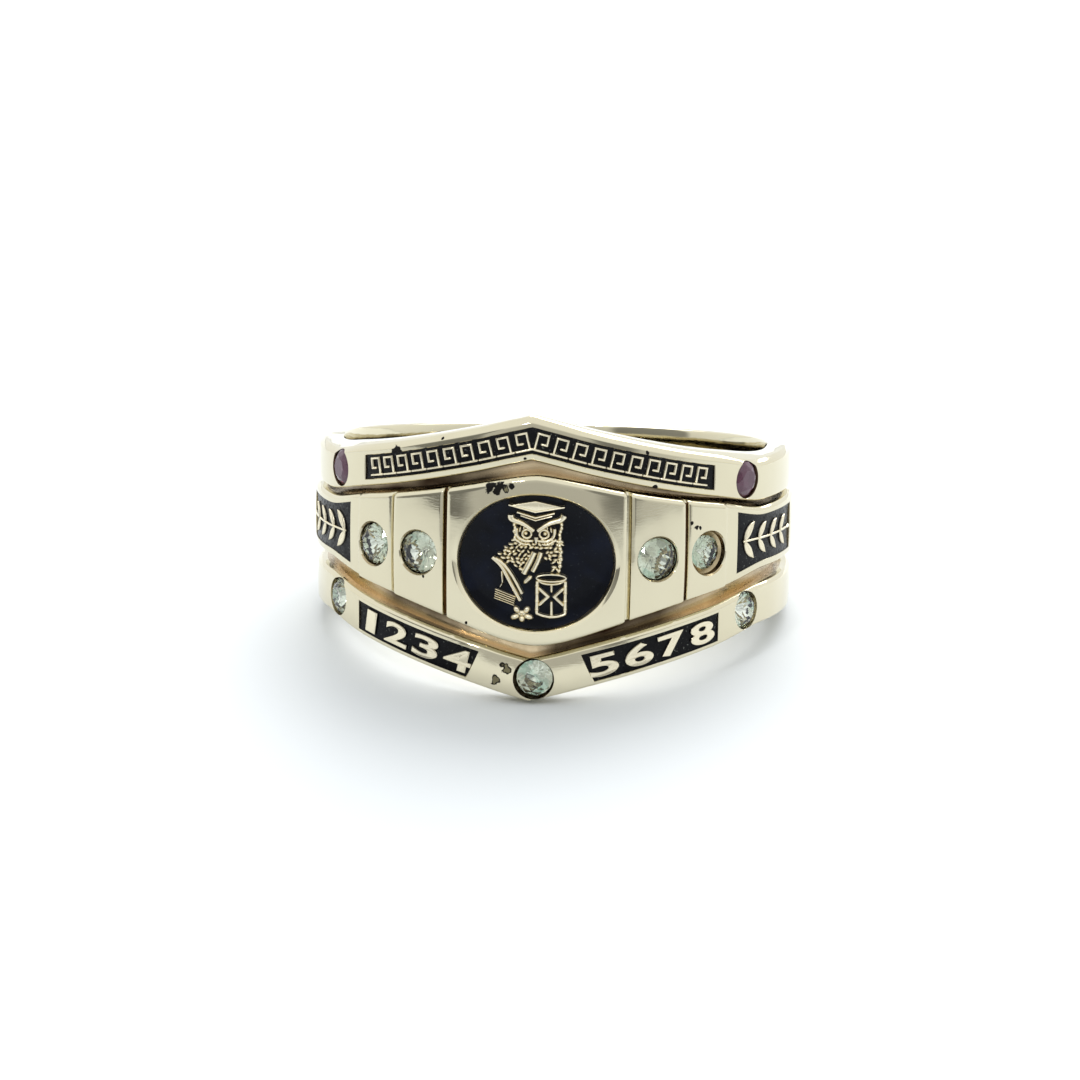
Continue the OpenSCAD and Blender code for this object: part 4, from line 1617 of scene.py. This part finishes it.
@dataclass
class Signet:
    """The oval's figures: an owl in a mortarboard, a quill over a book, a flower, an hourglass."""

    seed: int = 11

    def build(self) -> None:
        """Models the four figures."""
        finish = ReliefGold("raised_cast_gold").build()
        for figure in (self.owl(), self.hourglass(), self.book_and_quill(), self.flower()):
            node = figure.name.removesuffix("_relief")
            piece = shape(joined(figure.parts, figure.name), on_oval)
            finish_piece(piece, [finish], node, 40)

    def owl(self) -> Figure:
        """The owl: cap, brows, eyes, beak, feathers and claws.

        Returns:
            The figure.
        """
        owl = Figure("owl_relief")
        owl.pebble(-0.04, 1.22, 0.92, 0.68, 0.1, 0, 0.1)
        owl.pebble(-0.4, 0.42, 1.0, 0.6, 0.08, 12, 0.1)
        owl.plate([(-1.2, 2.45), (-0.1, 2.21), (1.08, 2.41), (-0.1, 2.66)])
        for line, *rest in (
            ([(-1.24, 2.47), (-0.1, 2.19), (1.12, 2.42)], 0.14, 0.29, 1, False),
            ([(-0.9, 2.17), (-0.1, 1.94), (0.72, 2.16)], 0.14, 0.25, 1, False),
            ([(-0.74, 2.02), (-0.1, 1.82), (0.6, 2.02)], 0.1, 0.2, 1, False),
            ([(-1.13, 2.04), (-1.08, 1.84), (-0.64, 1.68), (-0.15, 1.38)], 0.38, 0.26, 0.5),
            ([(1.08, 2.06), (0.94, 1.86), (0.46, 1.7), (-0.02, 1.38)], 0.38, 0.26, 0.5),
        ):
            owl.stroke(line, *rest)
        for side, u in ((-1, -0.45), (1, 0.26)):
            owl.stroke(circle(u, 1.25, 0.19, 0.18), 0.13, 0.2, 1, False)
            owl.pebble(u + 0.04 * side, 1.27, 0.1, 0.1, 0.24)
            for line, *rest in (
                ([(0.44, 1.5), (0.38, 1.13), (0.1, 0.95), (-0.24, 0.96)], 0.18, 0.22, 0.8),
                ([(0.27, 1.54), (0.31, 1.3)], 0.14, 0.2, 0.7),
                ([(0.12, 1.56), (0.14, 1.42)], 0.12, 0.18, 0.7),
                ([(0.52, 1.02), (0.14, 0.81), (-0.1, 0.83)], 0.15, 0.2, 0.7),
            ):
                owl.stroke([(u + side * aside, v) for aside, v in line], *rest)
        owl.plate([(-0.15, 1.12), (-0.06, 0.78), (0.03, 1.12)], 0.25, 0.03)
        owl.pebble(-0.08, 0.66, 0.08, 0.08, 0.2)
        self.feathers(owl)
        owl.stroke([(-0.12, 0.5), (-0.3, 0.1), (-0.58, -0.46)], 0.28, 0.24, 1.1)
        owl.stroke([(0.14, 0.5), (0.02, 0.1), (-0.2, -0.36)], 0.26, 0.24, 0.9)
        owl.stroke([(-0.24, -0.54), (-0.54, -0.86)], 0.24, 0.22, 0.9)
        return owl

    def feathers(self, owl: Figure) -> None:
        """Rows of small feathers over the breast and down both wings.

        Args:
            owl: The figure that they are added to.
        """
        chance = random.Random(self.seed)
        for row in range(9):
            v = 0.96 - 0.155 * row
            left = mix(-1.0, -1.58, min(row / 4, 1)) if row < 5 else mix(-1.5, -0.7, (row - 5) / 3)
            right = 0.98 - 0.02 * row
            count = round((right - left) / 0.2)
            for i in range(count + 1):
                u = mix(left, right, i / count) + chance.uniform(-0.03, 0.03) + 0.05 * (row % 2)
                claw = -0.1 - 0.5 * (0.46 - v) / 0.96
                if v < 0.5 and claw - 0.14 < u < claw + 0.42 or row > 5 and -0.5 < u < 0.55:
                    continue
                v_here = v + chance.uniform(-0.03, 0.03)
                ru, rv = chance.uniform(0.1, 0.15), chance.uniform(0.06, 0.085)
                owl.pebble(u, v_here, ru, rv, chance.uniform(0.16, 0.23), chance.uniform(-60, 60))
        for side, u, low, top in ((-1, -0.96, 1.05, 1.62), (1, 0.92, -0.1, 1.66)):
            count = round((top - low) / 0.15)
            for i in range(count + 1):
                aside = u + side * chance.uniform(-0.04, 0.06)
                v = mix(low, top, i / count)
                owl.pebble(aside, v, 0.095, 0.12, 0.2, chance.uniform(-25, 25))
        owl.pebble(0.9, -0.3, 0.09, 0.12, 0.2, -20)

    def hourglass(self) -> Figure:
        """The hourglass: two plates, turned posts, the glass and its thread of sand.

        Returns:
            The figure.
        """
        glass = Figure("hourglass_relief")
        glass.stroke(circle(0.58, -0.6, 0.61, 0.15), 0.14, 0.25, 1, False)
        rim = [(-0.04, -0.62), (0.2, -0.82), (0.58, -0.88), (0.96, -0.82), (1.2, -0.62)]
        foot = [(-0.04, -2.1), (0.2, -2.2), (0.58, -2.27), (0.96, -2.22), (1.2, -2.12)]
        glass.stroke(rim, 0.13, 0.2)
        glass.stroke(foot, 0.17, 0.22)
        for u in (0.0, 1.17):
            glass.stroke([(u, -0.72), (u, -1.4), (u, -2.16)], 0.19, 0.21)
            for v in (-0.95, -1.25, -1.6, -1.95):
                glass.pebble(u, v, 0.12, 0.1, 0.24)
        glass.stroke([(0.04, -1.02), (0.46, -1.4), (0.06, -1.8)], 0.18, 0.22, 1, False)
        glass.stroke([(1.12, -1.02), (0.71, -1.4), (1.12, -1.8)], 0.18, 0.22, 1, False)
        glass.stroke([(0.59, -0.9), (0.6, -1.24)], 0.18, 0.2, 0.5)
        glass.stroke([(0.6, -1.58), (0.61, -2.24)], 0.13, 0.2, 1.4)
        return glass

    def book_and_quill(self) -> Figure:
        """The closed book, its pages showing as lines, and the quill that leans over it.

        Returns:
            The figure.
        """
        quill = Figure("book_and_quill_relief")
        quill.plate([(-1.8, -1.54), (-0.95, -1.83), (-0.87, -1.45), (-1.76, -1.13)], 0.1, 0.03, 0.1)
        for i in range(5):
            start = (-1.8 + 0.01 * i, -1.53 + 0.095 * i)
            quill.stroke([start, (-0.93 + 0.015 * i, -1.82 + 0.09 * i)], 0.07, 0.2)
        for line, *rest in (
            ([(-1.9, 0.2), (-1.48, -0.19), (-1.06, -0.94), (-0.67, -1.62)], 0.22, 0.25, 0.9),
            ([(-1.76, 0.16), (-1.4, -0.08), (-1.02, -0.56), (-0.6, -1.32)], 0.19, 0.25, 0.9),
            ([(-1.49, -0.36), (-1.44, -0.9)], 0.12, 0.17, 0.8),
            ([(-1.46, -0.9), (-1.56, -1.08)], 0.1, 0.17, 0.8),
        ):
            quill.stroke(line, *rest)
        return quill

    def flower(self) -> Figure:
        """The open flower at the oval's foot.

        Returns:
            The figure.
        """
        flower = Figure("flower_relief")
        for u, v, size, turn in (
            (-0.85, -2.0, 0.14, 125), (-0.42, -2.0, 0.14, 55), (-0.92, -2.32, 0.17, 200),
            (-0.34, -2.3, 0.17, -15), (-0.62, -2.4, 0.13, 270),
        ):
            flower.pebble(u, v, size * 1.25, 0.14, 0.2, turn)
        flower.pebble(-0.63, -2.16, 0.2, 0.14, 0.14)
        flower.pebble(-0.63, -2.18, 0.07, 0.07, 0.22)
        return flower


@dataclass(frozen=True)
class Seating:
    """Where a flat piece stands on a band: an angle, a height, a slope, a radius and its side."""

    angle: float
    z: float
    slope: float
    r: float
    flip: int = 1

    def point(self, x: float, y: float, z: float) -> Point:
        """Bends a point of the flat piece round the ring's axis.

        Args:
            x: Along the piece.
            y: Upwards.
            z: Above the radius.

        Returns:
            The point about the ring's axis.
        """
        x *= self.flip
        along = x * cos(self.slope) - y * sin(self.slope)
        up = x * sin(self.slope) + y * cos(self.slope)
        return around(self.angle + degrees(along / self.r), self.r + z, self.z + up)

    def stand(self, part: Object) -> Object:
        """Moves a flat part to its place and keeps its faces outwards.

        Args:
            part: The part.

        Returns:
            The same part.
        """
        shape(part, self.point)
        if self.flip < 0:
            part.data.flip_normals()
        return part


@dataclass
class Meander:
    """The upper panel's line ornament: twenty raised keys, ten to a side."""

    keys: int = 10
    line: float = 0.12
    high: float = 0.78
    raised: float = 0.1

    def build(self) -> None:
        """Models one key and repeats it along the panel."""
        s = SIZES
        step = angle_at(s.upper_panel_x - 0.22, s.upper_r) / self.keys
        base_r = s.upper_r - s.panel_sink
        pitch = 2 * base_r * tan(radians(step / 2))
        high = self.high
        key = Figure("meander_relief", self.raised, -0.03)
        bar, right, hook = (-0.36 + 0.07) * pitch, 0.29 * pitch, (0.36 - 0.5) * high
        foot, top = -high / 2 + 0.05, high / 2 - 0.05
        key.stroke([(-pitch / 2, foot), (pitch / 2, foot)], self.line, self.raised)
        turns = [
            (bar, -high / 2 + 0.06), (bar, top), (right, top), (right, hook + 0.05),
            (-0.04 * pitch, hook + 0.05),
        ]
        key.stroke(turns, self.line, self.raised, 1, False)
        model = joined(key.parts, "meander_key")
        parts = []
        for side in (1, -1):
            for i in range(self.keys):
                near, away = UPPER_PANEL.middle(i * step), UPPER_PANEL.middle((i + 1) * step)
                slope = side * atan((away - near) / pitch)
                seat = Seating(side * (i + 0.5) * step, (near + away) / 2, slope, base_r, side)
                parts.append(seat.stand(copied(model.data, "meander_key")))
        bpy.data.objects.remove(model)
        finish = ReliefGold("raised_line_gold", low=0.2, high=0.6).build()
        finish_piece(joined(parts, "meander_relief"), [finish], "meander", 40)


@dataclass
class Numerals:
    """Plain numbers on the lower panels, four to a side."""

    high: float = 0.93
    bold: float = 0.032
    bevel: float = 0.02
    share: float = 0.83
    thick: float = 0.065
    lift: float = 0.035
    narrow: float = 0.5

    def build(self) -> None:
        """Models both sets."""
        finish = ReliefGold("raised_numeral_gold", low=0.5, high=0.85, roughness=0.2).build()
        s = SIZES
        near = angle_at(s.lower_panel_in + 0.16, s.lower_r)
        step = (angle_at(s.lower_panel_out - 0.08, s.lower_r) - near) / 4
        base_r = s.lower_r - s.panel_sink
        pitch = 2 * base_r * tan(radians(step / 2))
        for word, side in SIDES:
            parts = []
            for i in range(4):
                start = near + i * step
                z = LOWER_PANELS[0].middle(start), LOWER_PANELS[0].middle(start + step)
                part = self.numeral(4 - i if side < 0 else 5 + i, self.share * pitch)
                slope = side * atan((z[1] - z[0]) / pitch)
                seat = Seating(side * (start + step / 2), (z[0] + z[1]) / 2, slope, base_r)
                parts.append(seat.stand(part))
            piece = joined(parts, f"numerals_{word}_relief")
            finish_piece(piece, [finish], f"numerals_{word}", 30)

    def numeral(self, digit: int, wide: float) -> Object:
        """One number, stretched to its cell.

        Args:
            digit: The number.
            wide: The cell's width.

        Returns:
            The number, flat, its middle at the origin.
        """
        curve = primitive(f"numeral_{digit}", bpy.ops.object.text_add).data
        curve.body = str(digit)
        curve.size = 1
        curve.offset = self.bold - self.bevel
        curve.extrude = self.thick - self.bevel
        curve.bevel_depth = self.bevel
        curve.bevel_resolution = 1
        bpy.ops.object.convert(target="MESH")
        part = bpy.context.object
        corners = [vertex.co for vertex in part.data.vertices]
        low, top = (Vector([pick(c[i] for c in corners) for i in range(3)]) for pick in (min, max))
        width = wide * (self.narrow if digit == 1 else 1)
        scale = Matrix.Diagonal((width / (top.x - low.x), self.high / (top.y - low.y), 1, 1))
        part.data.transform(scale @ Matrix.Translation(-(low + top) / 2))
        part.data.transform(Matrix.Translation((0, 0, self.lift)))
        return Figure(part.name, 0.1).keep(part)


@dataclass
class Sprigs:
    """The side panels' leaf sprigs: a stem with four pairs of leaves and one at the tip."""

    pairs: int = 4
    lean: float = 50.0
    plump: float = 0.44
    spare: float = 0.08
    long: float = 0.42
    first: float = 0.45
    thick: float = 0.115
    rib: float = 0.03
    root: float = -0.03

    def build(self) -> None:
        """Models both sprigs."""
        finish = ReliefGold("raised_leaf_gold", low=0.35, high=0.75).build()
        for panel, (word, _) in zip(SIDE_PANELS, SIDES):
            piece = joined(self.sprig(panel), f"sprig_{word}_relief")
            finish_piece(piece, [finish], f"sprig_{word}", 40)

    def leaf(self, long: float, wide: float) -> Object:
        """A leaf that points along X, with a midrib.

        Args:
            long: Its length.
            wide: Its width.

        Returns:
            The leaf, flat, its stalk at the origin.
        """

        def place(x: float, y: float, z: float) -> Point:
            """Places a point of the leaf.

            Args:
                x: Along it, from -1 to 1.
                y: Across it, from -1 to 1.
                z: The level.

            Returns:
                The point, flat.
            """
            share = (x + 1) / 2
            half = wide / 2 * max(sin(pi * share) ** 0.8, 0.08)
            top = self.thick * (1 - abs(y) ** 3) ** 0.6 - self.rib * exp(-((y / 0.18) ** 2))
            return share * long, half * y, top if z > 0.5 else self.root

        return Figure("leaf", 0.1).keep(solid(slab("leaf", 12, 10, 2), place))

    def sprig(self, panel: Panel) -> list[Object]:
        """The parts of one sprig, growing away from the stones.

        Args:
            panel: The panel that it lies in.

        Returns:
            Leaves and stem, in place.
        """
        s = SIZES
        step = (s.side_far - s.side_near) / (self.pairs + 1)
        base_r = s.signet_r - s.panel_sink
        parts = []
        for i in range(self.pairs + 1):
            angle = s.side_near + (i + self.first) * step
            turned = angle + s.signet_turn
            band = SIGNET_TOP.height(turned, s.signet_r) - SIGNET_LOW.height(turned, s.signet_r)
            long = self.long * (band - 2 * s.side_margin)
            turned = panel.turn + panel.side * angle
            seat = Seating(turned, panel.middle(turned), 0, base_r, panel.side)
            room = base_r * radians(s.side_far - angle) - self.spare
            for turn in (-self.lean, self.lean) if i < self.pairs else (0,):
                size = 1.0 if turn else min(0.85, room / long)
                leaf = self.leaf(size * long, self.plump * size * long)
                leaf.data.transform(Matrix.Rotation(radians(turn), 4, "Z"))
                parts.append(seat.stand(leaf))
            if i < self.pairs:
                stem = Figure("stem", 0.1)
                reach = base_r * tan(radians(step))
                stem.stroke([(-0.06, 0), (reach * 0.55, 0), (reach, 0)], 0.12, 0.1)
                parts.append(seat.stand(stem.parts[0]))
        return parts


# Stage


@dataclass
class Studio:
    """The pale floor, soft light with two dark cards, and the camera.

    Each card has an azimuth, a height and a radius in degrees, and how dark it is. Each lamp has
    its place, size and power: a large soft box above and behind, and a small one high in front.
    """

    azimuth: float = 5.203
    elevation: float = 10.463
    distance: float = 130.0
    focal: float = 2990.4
    target: Flat = (554.012, 513.656)
    roll: float = 0.868
    cards: tuple[tuple[float, ...], ...] = ((-54.0, 16.0, 24.0, 0.65), (36.0, 12.0, 12.0, 0.6))
    lamps: tuple[tuple[str, Point, float, float], ...] = (
        ("back_box", (0.06, 0.33, 0.3), 0.4, 2.2), ("front_lamp", (-0.12, -0.25, 0.3), 0.04, 0.22)
    )

    def build(self) -> None:
        """Sets up the stage."""
        floor = primitive("floor", bpy.ops.mesh.primitive_plane_add, size=3)
        floor.data.materials.append(Finish("pale_paper").build())
        self.world()
        for name, place, size, power in self.lamps:
            light = bpy.data.lights.new(name, "AREA")
            light.shape = "SQUARE"
            light.size = size
            light.energy = power
            lamp = bpy.data.objects.new(name, light)
            bpy.context.scene.collection.objects.link(lamp)
            lamp.location = place
            lamp.rotation_euler = (-Vector(place)).to_track_quat("-Z", "Y").to_euler()
        self.camera()

    def world(self) -> None:
        """Pale light from all round, brighter overhead and behind than in front."""
        world = bpy.data.worlds.new("studio")
        bpy.context.scene.world = world
        world.use_nodes = True
        tree, soft = world.node_tree, "SMOOTHSTEP"
        way = add_node(tree, "TexCoord", out="Generated")
        bright = add_node(
            tree, "VectorMath", (way, (0.0, 0.7, 1.0)), "Value", operation="DOT_PRODUCT"
        )
        links = (bright, -0.7, 0.5, 0.66, 1.25)
        strength = add_node(tree, "MapRange", links, interpolation_type=soft)
        for azimuth, height, radius, depth in self.cards:
            a, h = radians(azimuth), radians(height)
            card = (sin(a) * cos(h), -cos(a) * cos(h), sin(h))
            near = add_node(tree, "VectorMath", (way, card), "Value", operation="DOT_PRODUCT")
            links = (near, cos(radians(radius + 3)), cos(radians(radius - 3)), 1.0, 1 - depth)
            left = add_node(tree, "MapRange", links, interpolation_type=soft)
            strength = add_node(tree, "Math", (strength, left), "Value", operation="MULTIPLY")
        plug(tree.nodes["Background"], {"Color": linear("#f2f5f6"), "Strength": strength})

    def camera(self) -> None:
        """The camera at the photograph's angle, worked out about the ring's own axis."""
        a, e = radians(self.azimuth), radians(self.elevation)
        back = Vector((sin(a) * cos(e), -cos(a) * cos(e), sin(e)))
        place = back * self.distance
        forward = -back
        right = forward.cross(Vector((0, 0, 1))).normalized()
        up = right.cross(forward)
        half = IMAGE_SIDE / 2
        pan = Matrix.Rotation(atan2(self.target[0] - half, self.focal), 3, up)
        forward, right = pan @ forward, pan @ right
        tip = Matrix.Rotation(atan2(self.target[1] - half, self.focal), 3, right)
        forward, up = tip @ forward, tip @ up
        r = radians(self.roll)
        right, up = right * cos(r) + up * sin(r), up * cos(r) - right * sin(r)
        turned = Matrix((right, up, -forward)).transposed().to_4x4()
        laid = LAID.to_quaternion().to_matrix().to_4x4()
        data = bpy.data.cameras.new("camera")
        data.sensor_width = 36
        data.lens = self.focal * data.sensor_width / IMAGE_SIDE
        data.clip_start = 0.005
        camera = bpy.data.objects.new("camera", data)
        bpy.context.scene.collection.objects.link(camera)
        camera.matrix_world = Matrix.Translation(LAID @ place) @ laid @ turned
        bpy.context.scene.camera = camera


def main() -> None:
    """Builds the ring piece by piece."""
    logging.basicConfig(level=logging.INFO, format="%(message)s")
    ring = (Casting(SIZES), Inlays(), StoneSet(), Signet(), Meander(), Numerals(), Sprigs())
    for assembly in (Studio(), *ring):
        assembly.build()
    bpy.context.scene.view_settings.view_transform = "Standard"


if __name__ == "__main__":
    main()
